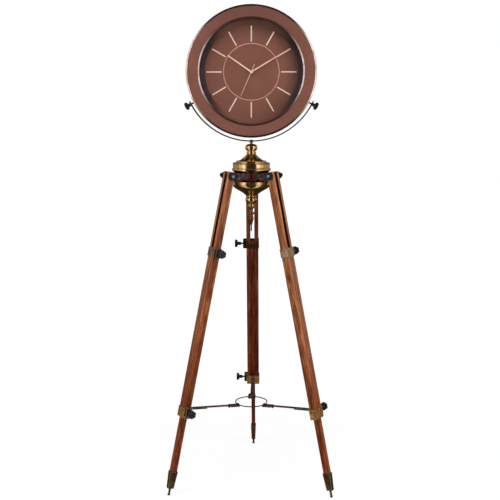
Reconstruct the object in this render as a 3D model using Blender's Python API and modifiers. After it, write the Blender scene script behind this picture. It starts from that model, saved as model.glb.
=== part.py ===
"""Floor clock: a round clock in a forked cradle on a folding, extending wooden tripod.

Metres, +Z up, the dial faces -Y. The feet stand on Z = 0, and the origin is the centre of the
clock's bounding box on that floor. The model is laid out from the plane of the leg hinges: brass
head and clock are stacked up from it, and each leg hangs from a frame of its own on its hinge axis.
"""

import math

import bmesh
import bpy
from mathutils import Matrix, Vector

# Fits
GAP = 0.0003
LOOSE = 0.0011
MERGE = 0.00001
OVERRUN = 0.004

# Clock case, dial and hands
CASE_RADIUS = 0.201
CASE_DEPTH = 0.048
CASE_WALL = 0.0018
CASE_ROUND = 0.005
CASE_CHAMFER = 0.0016
RING_WIDTH = 0.0365
EDGE_RING_WIDTH = 0.0024
EDGE_RING_OVERHANG = 0.0022
EDGE_RING_THICK = 0.0026
EDGE_RING_ROUND = 0.0016
LID_LAP = 0.003
LID_INSET = 0.016
LID_THICK = 0.0016
LID_DOME = 0.003
BEZEL_WALL = 0.0042
BEZEL_LIP = 0.0018
BEZEL_THICK = 0.0013
BEZEL_DEPTH = 0.0062
GLASS_THICK = 0.002
DIAL_LEDGE = 0.0057
DIAL_THICK = 0.0008
DIAL_CONE_WIDTH = 0.0165
DIAL_CONE_DEPTH = 0.013
MARKER_INNER_SHARE = 0.6525
MARKER_OUTER_SHARE = 0.989
MARKER_WIDE = 0.0038
MARKER_HIGH = 0.0006
MARKER_COUNT = 12
HOUR_LENGTH_SHARE = 0.63
HOUR_WIDE = 0.0052
MINUTE_LENGTH_SHARE = 0.978
MINUTE_WIDE = 0.0044
SECOND_LENGTH_SHARE = 0.564
SECOND_TAIL_SHARE = 0.181
SECOND_WIDE = 0.0016
HAND_THICK = 0.0007
HAND_SPACING = 0.0022
HUB_WALL = 0.0026
HOUR_ANGLE_DEG = 304.5
MINUTE_ANGLE_DEG = 59.5
SECOND_ANGLE_DEG = 204.0

# Movement behind the dial
MOVEMENT_WIDE = 0.056
MOVEMENT_DEEP = 0.018
BUSH_RADIUS = 0.004
BUSH_NUT_RADIUS = 0.0068
BUSH_NUT_THICK = 0.0018
HOUR_PIPE_RADIUS = 0.0025
MINUTE_PIPE_RADIUS = 0.0016
SECOND_PIN_RADIUS = 0.0007
BATTERY_RADIUS = 0.0071
BATTERY_LENGTH = 0.0495
BATTERY_BUTTON_RADIUS = 0.0026
BATTERY_BUTTON_LENGTH = 0.001
BATTERY_BELOW_AXIS = 0.0185
SETTING_STEM_RADIUS = 0.0024
SETTING_KNOB_RADIUS = 0.0085
SETTING_KNOB_THICK = 0.0055

# Fork and its thumbscrews
FORK_ROOM = 0.0114
FORK_THICK = 0.003
FORK_WIDE = 0.021
FORK_TIP_DEG = 24.7
FORK_BOSS_RADIUS = 0.0058
FORK_BOSS_HIGH = 0.0042
THUMBSCREW_DEG = 27.5
THUMBSCREW_RADIUS = 0.0024
THUMBSCREW_TIP_BALL = 0.006
THUMBSCREW_HUB_RADIUS = 0.0075
THUMBSCREW_HEAD_AT = 0.0255
THUMBSCREW_HEAD_THICK = 0.008
THUMBSCREW_HEAD_RADIUS = 0.0104
THUMBSCREW_LOBE = 0.003
THUMBSCREW_LOBES = 3
FORK_SCREW_RADIUS = 0.003
FORK_SCREW_HEAD_RADIUS = 0.006
FORK_SCREW_HEAD_HIGH = 0.0028
FORK_SCREW_DEPTH = 0.012

# Turned brass head, from the swivel ball down to the pendant
HEAD_RADIUS = 0.0616
HUB_RADIUS = 0.032
HUB_ABOVE_HINGE = 0.010
HUB_BELOW_HINGE = 0.018
DRUM_HIGH = 0.0267
CAP_HIGH = 0.0287
CAP_NECK_RADIUS = 0.0155
CAP_FLARE_RADIUS = 0.045
CAP_FLARE_HIGH = 0.0205
STEM_HIGH = 0.0392
STEM_BALL_RADIUS = 0.0193
STEM_BALL_BELOW_TOP = 0.0189
STEM_NECK_RADIUS = 0.0152
STEM_NUT_RADIUS = 0.0066
STEM_NUT_HIGH = 0.0036
SPIGOT_RADIUS = 0.006
SPIGOT_LENGTH = 0.02
BOWL_HIGH = 0.0497
PENDANT_RADIUS = 0.0195
PENDANT_LENGTH = 0.09
TIE_ROD_RADIUS = 0.0022
TIE_ROD_BELOW_PENDANT = 0.021
TIE_ROD_IN_CAP = 0.006

# Legs: distances are measured along a leg, down from its hinge axis
LEG_AZIMUTHS_DEG = {"back": 90.0, "front_left": 210.0, "front_right": 330.0}
WING_SIDES = {"back": 1.0, "front_left": 1.0, "front_right": -1.0}
SPLAY_DEG = 12.25
LEG_SWING_ROOM = 0.0015
SLAT_WIDE = 0.0134
SLAT_DEEP = 0.0217
SLAT_SPACE = 0.0135
SLAT_ABOVE_HINGE = 0.013
SLAT_BELOW_COLLAR_CENTRE = 0.012
WOOD_EDGE = 0.0012
CHEEK_THICK = 0.0045
CHEEK_ROOM = 0.0004
CHEEK_END_RADIUS = 0.013
CHEEK_TOP = 0.0095
BOLT_RADIUS = 0.0032
BOLT_HEAD_RADIUS = 0.0086
BOLT_HEAD_HIGH = 0.0055
WING_HUB_RADIUS = 0.0062
WING_HUB_LENGTH = 0.0075
WING_HEAD_RADIUS = 0.0102
WING_HEAD_THICK = 0.009
WING_LOBE = 0.0023
WING_LOBES = 3
UPPER_COLLAR_AT = 0.2439
LOWER_COLLAR_AT = 0.7633
INNER_TOP_AT = 0.2286
INNER_LEG_LENGTH = 0.7262
FERRULE_LENGTH = 0.0566
FERRULE_STEP = 0.0025
FERRULE_EDGE = 0.0015
FERRULE_TAPER_SHARE = 0.78
SPIKE_LENGTH = 0.0216
SPIKE_RADIUS = 0.0036
SPIKE_FOOT_RADIUS = 0.0046
SPIKE_STUD_RADIUS = 0.0028
SPIKE_STUD_LENGTH = 0.012

# Collars, their clamp knobs and the spreader's ears
COLLAR_WALL = 0.0022
UPPER_COLLAR_HIGH = 0.029
UPPER_NOTCH_DEEP = 0.013
UPPER_NOTCH_WIDE = 0.028
LOWER_COLLAR_HIGH = 0.038
LUG_OUT = 0.0115
LUG_HIGH = 0.031
LUG_DEEP = 0.019
LUG_EDGE = 0.003
LOWER_KNOB_AT = 0.754
KNOB_SHAFT_RADIUS = 0.0028
KNOB_CONE_AT = 0.0182
KNOB_CONE_SMALL_RADIUS = 0.0042
KNOB_CONE_RADIUS = 0.008
KNOB_HEAD_AT = 0.030
KNOB_HEAD_THICK = 0.009
KNOB_HEAD_RADIUS = 0.0122
KNOB_LOBE = 0.0011
KNOB_LOBES = 5
FOOT_EAR_RADIUS = 0.0065
FOOT_EAR_BELOW = 0.004
FOOT_EAR_THICK = 0.0026

# Spreader: three hooked struts and the ring that they carry
PIVOT_AT = 0.7474
PIVOT_IN = 0.019
PIVOT_PIN_RADIUS = 0.002
EYE_RADIUS = 0.0044
EYE_WIDE = 0.012
EAR_THICK = 0.003
RING_RADIUS = 0.052
RING_TUBE_RADIUS = 0.00175
STRUT_DROP_DEG = 6.06
STRUT_WIDE = 0.0114
STRUT_THICK = 0.0024
DOUBLER_LENGTH = 0.055
DOUBLER_WIDE = 0.0106
DOUBLER_THICK = 0.0022
HOOK_PLATE_LENGTH = 0.036
HOOK_PLATE_WIDE = 0.025
HOOK_PLATE_THICK = 0.003
HOOK_WIDE = 0.011
HOOK_THICK = 0.0024
HOOK_RISE = 0.0012

# Facets round a full circle
FINE_STEPS = 40
MEDIUM_STEPS = 24
RING_STEPS = 30
TUBE_STEPS = 6
SMALL_STEPS = 12
PIN_STEPS = 10
HEX_STEPS = 6
FLARE_POINTS = 5
BALL_POINTS = 5
ARC_POINTS = 5
LOBE_POINTS = 4
FORK_POINTS = 26
SMOOTH_DEG = 35.0

# Turned outlines: shares of the piece's radius and of its height, down its outer side
DRUM_SHARES = (
    (0.93, 0.0),
    (0.952, 0.04),
    (0.945, 0.55),
    (0.985, 0.6),
    (1.0, 0.72),
    (0.985, 0.86),
    (0.94, 0.93),
    (0.9, 1.0),
)
BOWL_SHARES = (
    (0.97, 0.0),
    (0.99, 0.04),
    (0.98, 0.24),
    (0.92, 0.36),
    (0.75, 0.47),
    (0.6, 0.59),
    (0.42, 0.76),
    (0.33, 0.86),
    (0.29, 1.0),
)
PENDANT_SHARES = (
    (0.72, 0.0),
    (0.93, 0.05),
    (1.0, 0.11),
    (0.92, 0.17),
    (0.6, 0.235),
    (0.45, 0.265),
    (0.53, 0.30),
    (0.54, 0.37),
    (0.42, 0.41),
    (0.3, 0.44),
    (0.28, 0.54),
    (0.51, 0.57),
    (0.51, 0.62),
    (0.3, 0.65),
    (0.38, 0.70),
    (0.29, 0.74),
    (0.43, 0.765),
    (0.43, 0.80),
    (0.35, 0.82),
    (0.165, 1.0),
)

# Places that follow from the sizes above
LEG_HALF_WIDE = SLAT_SPACE / 2 + SLAT_WIDE
LEG_HALF_DEEP = SLAT_DEEP / 2
INNER_WIDE = SLAT_SPACE - 2 * GAP
HINGE_RADIUS = HEAD_RADIUS + LEG_SWING_ROOM + math.hypot(LEG_HALF_DEEP, SLAT_ABOVE_HINGE)
CHEEK_OFFSET = LEG_HALF_WIDE + CHEEK_ROOM + CHEEK_THICK / 2
CHEEK_FACE = CHEEK_OFFSET + CHEEK_THICK / 2
DRUM_BOTTOM = HUB_ABOVE_HINGE + GAP
CAP_BOTTOM = DRUM_BOTTOM + DRUM_HIGH + GAP
CAP_TOP = CAP_BOTTOM + CAP_HIGH
STEM_BOTTOM = CAP_TOP + GAP
STEM_TOP = STEM_BOTTOM + STEM_HIGH
BOWL_TOP = -HUB_BELOW_HINGE - GAP
PENDANT_TOP = BOWL_TOP - BOWL_HIGH - GAP
TIE_ROD_TOP = CAP_BOTTOM + TIE_ROD_IN_CAP
TIE_ROD_BOTTOM = PENDANT_TOP - PENDANT_LENGTH - TIE_ROD_BELOW_PENDANT
TIE_ROD_BORE = TIE_ROD_RADIUS + GAP
FORK_RADIUS = CASE_RADIUS + FORK_ROOM + FORK_THICK / 2
CLOCK_CENTRE_UP = STEM_TOP + GAP + FORK_THICK / 2 + FORK_RADIUS
TILT_BELOW_CENTRE = CASE_RADIUS * math.sin(math.radians(THUMBSCREW_DEG))
FRONT = CASE_DEPTH / 2
OPENING_RADIUS = CASE_RADIUS - RING_WIDTH
LID_OPENING_RADIUS = CASE_RADIUS - LID_INSET
BEZEL_RADIUS = OPENING_RADIUS - GAP
GLASS_RADIUS = BEZEL_RADIUS - BEZEL_WALL - GAP
DIAL_RADIUS = BEZEL_RADIUS - DIAL_LEDGE - DIAL_CONE_WIDTH
HOUR_LENGTH = DIAL_RADIUS * HOUR_LENGTH_SHARE
MINUTE_LENGTH = DIAL_RADIUS * MINUTE_LENGTH_SHARE
SECOND_LENGTH = DIAL_RADIUS * SECOND_LENGTH_SHARE
SECOND_TAIL = DIAL_RADIUS * SECOND_TAIL_SHARE
DIAL_RIM = FRONT - BEZEL_DEPTH - GAP
DIAL_FACE = DIAL_RIM - DIAL_CONE_DEPTH
MOVEMENT_FRONT = DIAL_FACE - DIAL_THICK - GAP
HOUR_PLANE = DIAL_FACE + GAP + BUSH_NUT_THICK + GAP
MINUTE_PLANE = HOUR_PLANE + HAND_SPACING
SECOND_PLANE = MINUTE_PLANE + HAND_SPACING
LID_FACE = -FRONT - GAP - LID_THICK
FOOT_AT = INNER_TOP_AT + INNER_LEG_LENGTH + GAP + FERRULE_LENGTH + GAP + SPIKE_LENGTH
COLLAR_HALF_WIDE = LEG_HALF_WIDE + GAP + COLLAR_WALL
COLLAR_HALF_DEEP = LEG_HALF_DEEP + GAP + COLLAR_WALL


def clear_scene():
    for obj in list(bpy.data.objects):
        bpy.data.objects.remove(obj, do_unlink=True)


def make_collection(name):
    collection = bpy.data.collections.new(name)
    bpy.context.scene.collection.children.link(collection)
    return collection


def make_material(name, colour, roughness, metallic=0.0, transmission=0.0):
    material = bpy.data.materials.new(name)
    material.use_nodes = True
    shader = material.node_tree.nodes["Principled BSDF"]
    shader.inputs["Base Color"].default_value = (*colour, 1.0)
    shader.inputs["Roughness"].default_value = roughness
    shader.inputs["Metallic"].default_value = metallic
    shader.inputs["Transmission Weight"].default_value = transmission
    return material


def make_materials():
    return {
        "wood": make_material("Stained_wood", (0.30, 0.105, 0.045), 0.35),
        "brass": make_material("Antique_brass", (0.62, 0.45, 0.20), 0.2, 1.0),
        "cast_brass": make_material("Cast_brass", (0.33, 0.22, 0.09), 0.4, 1.0),
        "bronze": make_material("Dark_bronze", (0.13, 0.085, 0.06), 0.35, 1.0),
        "steel": make_material("Dark_steel", (0.12, 0.11, 0.10), 0.4, 1.0),
        "copper": make_material("Copper_paint", (0.22, 0.085, 0.06), 0.35, 0.3),
        "gold": make_material("Pink_gold", (0.78, 0.50, 0.36), 0.25, 1.0),
        "black": make_material("Black_plastic", (0.02, 0.02, 0.02), 0.35),
        "glass": make_material("Clear_glass", (1.0, 1.0, 1.0), 0.02, 0.0, 1.0),
    }


def work_object(name, mesh):
    obj = bpy.data.objects.new(name, mesh)
    bpy.context.scene.collection.objects.link(obj)
    return obj


def from_bmesh(name, shape):
    mesh = bpy.data.meshes.new(name)
    shape.to_mesh(mesh)
    shape.free()
    return work_object(name, mesh)


def applied(obj):
    """A new object whose mesh is obj as evaluated, in place of obj."""
    bpy.context.view_layer.update()
    graph = bpy.context.evaluated_depsgraph_get()
    mesh = bpy.data.meshes.new_from_object(obj.evaluated_get(graph))
    mesh.transform(obj.matrix_world)
    shape = bmesh.new()
    shape.from_mesh(mesh)
    bmesh.ops.remove_doubles(shape, verts=shape.verts, dist=MERGE)
    shape.to_mesh(mesh)
    shape.free()
    result = work_object(obj.name, mesh)
    bpy.data.objects.remove(obj, do_unlink=True)
    return result


def moved(obj, matrix):
    obj.data.transform(matrix)
    return obj


def shifted(obj, x=0.0, y=0.0, z=0.0):
    return moved(obj, Matrix.Translation((x, y, z)))


def turned_to(obj, axis):
    """obj with its Z axis turned to the given axis."""
    rotation = Vector((0.0, 0.0, 1.0)).rotation_difference(Vector(axis))
    return moved(obj, rotation.to_matrix().to_4x4())


def box(wide, deep, high):
    shape = bmesh.new()
    bmesh.ops.create_cube(shape, size=1.0)
    bmesh.ops.scale(shape, vec=(wide, deep, high), verts=shape.verts)
    return from_bmesh("box", shape)


def cylinder(radius, length, steps=PIN_STEPS, end_radius=None):
    """A cylinder or cone along Z, centred on the origin."""
    shape = bmesh.new()
    bmesh.ops.create_cone(
        shape,
        cap_ends=True,
        segments=steps,
        radius1=radius,
        radius2=radius if end_radius is None else end_radius,
        depth=length,
    )
    return from_bmesh("cylinder", shape)


def turned(profile, steps, closed=False):
    """A solid of revolution about Z from (radius, height) points, down its outer side.

    A closed profile makes a ring, and an open one starts and ends on the axis.
    """
    points = [(radius, 0.0, height) for radius, height in profile]
    edges = [(index, index + 1) for index in range(len(points) - 1)]
    if closed:
        edges.append((len(points) - 1, 0))
    mesh = bpy.data.meshes.new("turned")
    mesh.from_pydata(points, edges, [])
    obj = work_object("turned", mesh)
    screw = obj.modifiers.new("Screw", "SCREW")
    screw.steps = steps
    screw.render_steps = steps
    screw.use_merge_vertices = True
    screw.merge_threshold = MERGE
    return applied(obj)


def prism(outline, thickness):
    """A flat outline in XY, extruded to both sides along Z."""
    curve = bpy.data.curves.new("prism", "CURVE")
    curve.dimensions = "2D"
    curve.fill_mode = "BOTH"
    curve.extrude = thickness / 2
    spline = curve.splines.new("POLY")
    spline.points.add(len(outline) - 1)
    for point, (x, y) in zip(spline.points, outline):
        point.co = (x, y, 0.0, 1.0)
    spline.use_cyclic_u = True
    return applied(work_object("prism", curve))


def bevelled(obj, width, segments=1):
    bevel = obj.modifiers.new("Bevel", "BEVEL")
    bevel.width = width
    bevel.segments = segments
    bevel.limit_method = "ANGLE"
    bevel.angle_limit = math.radians(SMOOTH_DEG)
    return applied(obj)


def combined(obj, other, operation):
    boolean = obj.modifiers.new("Boolean", "BOOLEAN")
    boolean.operation = operation
    boolean.solver = "EXACT"
    boolean.object = other
    result = applied(obj)
    bpy.data.objects.remove(other, do_unlink=True)
    return result


def joined(obj, *others):
    for other in others:
        obj = combined(obj, other, "UNION")
    return obj


def cut(obj, *cutters):
    for cutter in cutters:
        obj = combined(obj, cutter, "DIFFERENCE")
    return obj


def arc(centre, radius, start_deg, end_deg, points):
    """Points on an arc, both ends included."""
    step = (end_deg - start_deg) / (points - 1)
    angles = [math.radians(start_deg + step * index) for index in range(points)]
    return [
        (centre[0] + radius * math.cos(angle), centre[1] + radius * math.sin(angle))
        for angle in angles
    ]


def lobed_outline(radius, lobe, lobes):
    count = lobes * LOBE_POINTS
    angles = [2 * math.pi * index / count for index in range(count)]
    radii = [radius + lobe * math.cos(lobes * angle) for angle in angles]
    return [(r * math.cos(a), r * math.sin(a)) for r, a in zip(radii, angles)]


def scaled_profile(shares, radius, top, height):
    return [(radius * across, top - height * down) for across, down in shares]


def sagitta(radius, half_width):
    """How far a circle falls back from its tangent at half_width to the side."""
    return radius - math.sqrt(radius * radius - half_width * half_width)


def add_empty(name, collection, parent, matrix):
    empty = bpy.data.objects.new(name, None)
    empty.empty_display_size = HUB_RADIUS
    collection.objects.link(empty)
    empty.parent = parent
    empty.matrix_local = matrix
    return empty


def finished(obj, material):
    """The object's mesh with its material and shading, and the object itself removed."""
    mesh = obj.data
    mesh.materials.clear()
    mesh.materials.append(material)
    mesh.shade_smooth()
    mesh.set_sharp_from_angle(angle=math.radians(SMOOTH_DEG))
    bpy.data.objects.remove(obj, do_unlink=True)
    return mesh


def add_part(name, mesh, collection, parent, matrix=None):
    obj = bpy.data.objects.new(name, mesh)
    mesh.name = name
    collection.objects.link(obj)
    obj.parent = parent
    if matrix is not None:
        obj.matrix_local = matrix
    return obj


# Brass head, about the tripod's axis, heights from the hinge plane


def drum_shape():
    outer = scaled_profile(DRUM_SHARES, HEAD_RADIUS, DRUM_BOTTOM + DRUM_HIGH, DRUM_HIGH)
    top = (TIE_ROD_BORE, DRUM_BOTTOM + DRUM_HIGH)
    bottom = (TIE_ROD_BORE, DRUM_BOTTOM)
    return turned([top, *outer, bottom], MEDIUM_STEPS, closed=True)


def flare_profile():
    """The cap's concave flare, steep at the neck and flat at its foot."""
    points = []
    for index in range(FLARE_POINTS + 1):
        share = index / FLARE_POINTS
        radius = CAP_NECK_RADIUS + (CAP_FLARE_RADIUS - CAP_NECK_RADIUS) * share
        points.append((radius, CAP_TOP - CAP_FLARE_HIGH * math.sin(share * math.pi / 2)))
    return points


def head_cap_shape():
    foot = CAP_HIGH - CAP_FLARE_HIGH
    bead_shares = ((0.765, 0.9), (0.78, 0.7), (0.77, 0.45), (0.78, 0.36), (0.95, 0.28), (0.96, 0.0))
    bead = [(HEAD_RADIUS * across, CAP_BOTTOM + foot * up) for across, up in bead_shares]
    spigot_floor = CAP_TOP - SPIGOT_LENGTH - GAP
    rod_roof = TIE_ROD_TOP + GAP
    profile = [
        (0.0, spigot_floor),
        (SPIGOT_RADIUS + GAP, spigot_floor),
        (SPIGOT_RADIUS + GAP, CAP_TOP),
        *flare_profile(),
        *bead,
        (TIE_ROD_BORE, CAP_BOTTOM),
        (TIE_ROD_BORE, rod_roof),
        (0.0, rod_roof),
    ]
    return turned(profile, MEDIUM_STEPS)


def ball_profile(centre, radius, top, bottom):
    """The ball's outer side between two heights."""
    start = math.degrees(math.asin((top - centre) / radius))
    end = math.degrees(math.asin((bottom - centre) / radius))
    return arc((0.0, centre), radius, start, end, BALL_POINTS)


def swivel_stem_shape():
    shoulder = STEM_TOP - STEM_NUT_HIGH
    centre = STEM_TOP - STEM_BALL_BELOW_TOP
    neck_shares = ((1.0, 0.80), (1.0, 0.56), (0.93, 0.5), (0.96, 0.42), (0.96, 0.08), (0.92, 0.0))
    ball_bottom = centre - math.sqrt(STEM_BALL_RADIUS**2 - STEM_NECK_RADIUS**2)
    neck_high = ball_bottom - STEM_BOTTOM
    screw_floor = STEM_TOP - FORK_SCREW_DEPTH - GAP
    screw_bore = FORK_SCREW_RADIUS + GAP
    profile = [
        (0.0, screw_floor),
        (screw_bore, screw_floor),
        (screw_bore, STEM_TOP),
        (STEM_NUT_RADIUS, STEM_TOP),
        (STEM_NUT_RADIUS, shoulder),
        *ball_profile(centre, STEM_BALL_RADIUS, shoulder, ball_bottom),
        *[(STEM_NECK_RADIUS * across, STEM_BOTTOM + neck_high * up) for across, up in neck_shares],
        (SPIGOT_RADIUS, STEM_BOTTOM),
        (SPIGOT_RADIUS, CAP_TOP - SPIGOT_LENGTH),
        (0.0, CAP_TOP - SPIGOT_LENGTH),
    ]
    return turned(profile, MEDIUM_STEPS)


def lower_bowl_shape():
    outer = scaled_profile(BOWL_SHARES, HEAD_RADIUS, BOWL_TOP, BOWL_HIGH)
    top = (TIE_ROD_BORE, BOWL_TOP)
    bottom = (TIE_ROD_BORE, BOWL_TOP - BOWL_HIGH)
    return turned([top, *outer, bottom], MEDIUM_STEPS, closed=True)


def pendant_shape():
    outer = scaled_profile(PENDANT_SHARES, PENDANT_RADIUS, PENDANT_TOP, PENDANT_LENGTH)
    top = (TIE_ROD_BORE, PENDANT_TOP)
    bottom = (TIE_ROD_BORE, PENDANT_TOP - PENDANT_LENGTH)
    return turned([top, *outer, bottom], SMALL_STEPS, closed=True)


def tie_rod_shape():
    rod = cylinder(TIE_ROD_RADIUS, TIE_ROD_TOP - TIE_ROD_BOTTOM)
    return shifted(rod, z=(TIE_ROD_TOP + TIE_ROD_BOTTOM) / 2)


def cheek_outline():
    """One cheek in its own plane: X out from the tripod's axis, Y up from the hinge."""
    start = 180.0 - math.degrees(math.asin(CHEEK_TOP / CHEEK_END_RADIUS))
    root = HUB_RADIUS / 2
    end = arc((HINGE_RADIUS, 0.0), CHEEK_END_RADIUS, start, -90.0, 2 * ARC_POINTS)
    return [(root, CHEEK_TOP), *end, (root, -CHEEK_END_RADIUS)]


def leg_plate_shape():
    """The casting under the drum: a hub and a pair of cheeks for each leg."""
    high = HUB_ABOVE_HINGE + HUB_BELOW_HINGE
    middle = (HUB_ABOVE_HINGE - HUB_BELOW_HINGE) / 2
    plate = shifted(cylinder(HUB_RADIUS, high, MEDIUM_STEPS), z=middle)
    for azimuth_deg in LEG_AZIMUTHS_DEG.values():
        turn = Matrix.Rotation(math.radians(azimuth_deg), 4, "Z")
        stand = Matrix.Rotation(math.radians(90.0), 4, "X")
        for side in (-1, 1):
            cheek = prism(cheek_outline(), CHEEK_THICK)
            bore = shifted(cylinder(BOLT_RADIUS + GAP, CHEEK_THICK + OVERRUN), x=HINGE_RADIUS)
            cheek = moved(cut(cheek, bore), stand)
            plate = joined(plate, moved(shifted(cheek, y=side * CHEEK_OFFSET), turn))
    bore = shifted(cylinder(TIE_ROD_BORE, high + OVERRUN), z=middle)
    return cut(plate, bore)


# Fork, in the clock's frame: X to the right, Y up, Z out of the dial


def radial_frame(side):
    """On a thumbscrew's axis: Z points away from the clock's centre, the origin is at the case."""
    angle = math.radians(-THUMBSCREW_DEG)
    outward = Vector((side * math.cos(angle), math.sin(angle), 0.0))
    rotation = Vector((0.0, 0.0, 1.0)).rotation_difference(outward)
    return Matrix.Translation(outward * CASE_RADIUS) @ rotation.to_matrix().to_4x4()


def fork_shape():
    centre = (0.0, 0.0)
    left_deg, right_deg = FORK_TIP_DEG - 180.0, -FORK_TIP_DEG
    outer = arc(centre, FORK_RADIUS + FORK_THICK / 2, left_deg, right_deg, FORK_POINTS)
    inner = arc(centre, FORK_RADIUS - FORK_THICK / 2, right_deg, left_deg, FORK_POINTS)
    strap = prism([*outer, *inner], FORK_WIDE)
    boss_high = FORK_THICK + FORK_BOSS_HIGH
    boss_middle = FORK_ROOM + boss_high / 2
    for side in (-1, 1):
        frame = radial_frame(side)
        boss = cylinder(FORK_BOSS_RADIUS, FORK_BOSS_HIGH + FORK_THICK / 2, HEX_STEPS)
        bore = cylinder(THUMBSCREW_RADIUS + GAP, boss_high + 2 * OVERRUN)
        strap = joined(strap, moved(shifted(boss, z=boss_middle), frame))
        strap = cut(strap, moved(shifted(bore, z=boss_middle), frame))
    bore = cylinder(FORK_SCREW_RADIUS + GAP, FORK_THICK + OVERRUN)
    bore = shifted(turned_to(bore, (0.0, 1.0, 0.0)), y=-FORK_RADIUS)
    return cut(strap, bore)


def thumbscrew_shape():
    """Along Z, with its domed tip just clear of the case at the origin."""
    tip_edge = sagitta(THUMBSCREW_TIP_BALL, THUMBSCREW_RADIUS)
    cone_at = FORK_ROOM + FORK_THICK + FORK_BOSS_HIGH + GAP
    head_middle = THUMBSCREW_HEAD_AT + THUMBSCREW_HEAD_THICK / 2
    profile = [
        (0.0, head_middle),
        (THUMBSCREW_HUB_RADIUS, head_middle),
        (THUMBSCREW_HUB_RADIUS, THUMBSCREW_HEAD_AT),
        (THUMBSCREW_RADIUS + LOOSE, cone_at),
        (THUMBSCREW_RADIUS, cone_at),
        (THUMBSCREW_RADIUS, GAP + tip_edge),
        (THUMBSCREW_RADIUS / 2, GAP + sagitta(THUMBSCREW_TIP_BALL, THUMBSCREW_RADIUS / 2)),
        (0.0, GAP),
    ]
    outline = lobed_outline(THUMBSCREW_HEAD_RADIUS, THUMBSCREW_LOBE, THUMBSCREW_LOBES)
    head = shifted(prism(outline, THUMBSCREW_HEAD_THICK), z=head_middle)
    return joined(head, turned(profile, PIN_STEPS))


def fork_screw_shape():
    """In the clock's frame, its shaft pointing down through the strap into the stem."""
    seat = GAP - FORK_RADIUS + FORK_THICK / 2
    shaft_end = -CLOCK_CENTRE_UP + STEM_TOP - FORK_SCREW_DEPTH
    profile = [
        (0.0, seat + FORK_SCREW_HEAD_HIGH),
        (FORK_SCREW_HEAD_RADIUS / 2, seat + FORK_SCREW_HEAD_HIGH),
        (FORK_SCREW_HEAD_RADIUS, seat + FORK_SCREW_HEAD_HIGH / 2),
        (FORK_SCREW_HEAD_RADIUS, seat),
        (FORK_SCREW_RADIUS, seat),
        (FORK_SCREW_RADIUS, shaft_end),
        (0.0, shaft_end),
    ]
    return moved(turned(profile, PIN_STEPS), Matrix.Rotation(math.radians(-90.0), 4, "X"))


# Clock, in the same frame


def case_shape():
    """A spun drum with the flat front ring, open in the middle at the front and at the back."""
    back = -FRONT
    inside = CASE_RADIUS - CASE_WALL
    ledge = CASE_RADIUS - EDGE_RING_WIDTH
    step = EDGE_RING_THICK + GAP
    profile = [
        (OPENING_RADIUS, FRONT),
        (ledge, FRONT),
        (ledge, FRONT - step),
        (CASE_RADIUS, FRONT - step),
        (CASE_RADIUS, back + CASE_ROUND),
        (CASE_RADIUS - CASE_CHAMFER, back + CASE_CHAMFER),
        (CASE_RADIUS - CASE_ROUND, back),
        (LID_OPENING_RADIUS, back),
        (LID_OPENING_RADIUS, back + CASE_WALL),
        (inside - CASE_ROUND, back + CASE_WALL),
        (inside, back + CASE_ROUND),
        (inside, FRONT - step - CASE_WALL),
        (OPENING_RADIUS, FRONT - step - CASE_WALL),
    ]
    return turned(profile, FINE_STEPS, closed=True)


def edge_ring_shape():
    """The rim round the front edge, which stands a little proud of the case."""
    inner = CASE_RADIUS - EDGE_RING_WIDTH + GAP
    outer = CASE_RADIUS + EDGE_RING_OVERHANG
    bottom = FRONT - EDGE_RING_THICK
    profile = [
        (inner, FRONT),
        (outer - EDGE_RING_ROUND, FRONT),
        (outer, FRONT - EDGE_RING_ROUND),
        (outer, bottom),
        (inner, bottom),
    ]
    return turned(profile, FINE_STEPS, closed=True)


def bezel_shape():
    inner = BEZEL_RADIUS - BEZEL_WALL
    lip = OPENING_RADIUS + BEZEL_LIP
    profile = [
        (inner, FRONT + BEZEL_THICK),
        (lip, FRONT + BEZEL_THICK),
        (lip, FRONT + GAP),
        (BEZEL_RADIUS, FRONT + GAP),
        (BEZEL_RADIUS, FRONT - BEZEL_DEPTH),
        (inner, FRONT - BEZEL_DEPTH),
    ]
    return turned(profile, FINE_STEPS, closed=True)


def glass_shape():
    pane = cylinder(GLASS_RADIUS, GLASS_THICK, FINE_STEPS)
    return shifted(pane, z=DIAL_RIM + GAP + GLASS_THICK / 2)


def dial_shape():
    """A dished pan: a flat face, a cone up to the rim, and raised bar markers."""
    hole = BUSH_RADIUS + GAP
    cone_top = DIAL_RADIUS + DIAL_CONE_WIDTH
    profile = [
        (hole, DIAL_FACE),
        (DIAL_RADIUS, DIAL_FACE),
        (cone_top, DIAL_RIM),
        (BEZEL_RADIUS, DIAL_RIM),
        (BEZEL_RADIUS, DIAL_RIM - DIAL_THICK),
        (cone_top, DIAL_RIM - DIAL_THICK),
        (DIAL_RADIUS, DIAL_FACE - DIAL_THICK),
        (hole, DIAL_FACE - DIAL_THICK),
    ]
    dial = turned(profile, FINE_STEPS, closed=True)
    marker_length = DIAL_RADIUS * (MARKER_OUTER_SHARE - MARKER_INNER_SHARE)
    middle = DIAL_RADIUS * (MARKER_OUTER_SHARE + MARKER_INNER_SHARE) / 2
    for index in range(MARKER_COUNT):
        marker = box(MARKER_WIDE, marker_length, MARKER_HIGH + DIAL_THICK / 2)
        marker = shifted(marker, y=middle, z=DIAL_FACE + MARKER_HIGH / 2 - DIAL_THICK / 4)
        turn = Matrix.Rotation(2 * math.pi * index / MARKER_COUNT, 4, "Z")
        dial = joined(dial, moved(marker, turn))
    return dial


def hand_shape(length, tail, wide, bore):
    """A hand pointing along Y from its hub, its back on Z = 0."""
    blade = box(wide, length + tail, HAND_THICK)
    blade = shifted(blade, y=(length - tail) / 2)
    hub = cylinder(bore + HUB_WALL, HAND_THICK + GAP, PIN_STEPS)
    hole = cylinder(bore, HAND_THICK + OVERRUN, PIN_STEPS)
    return shifted(cut(joined(blade, hub), hole), z=HAND_THICK / 2)


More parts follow.
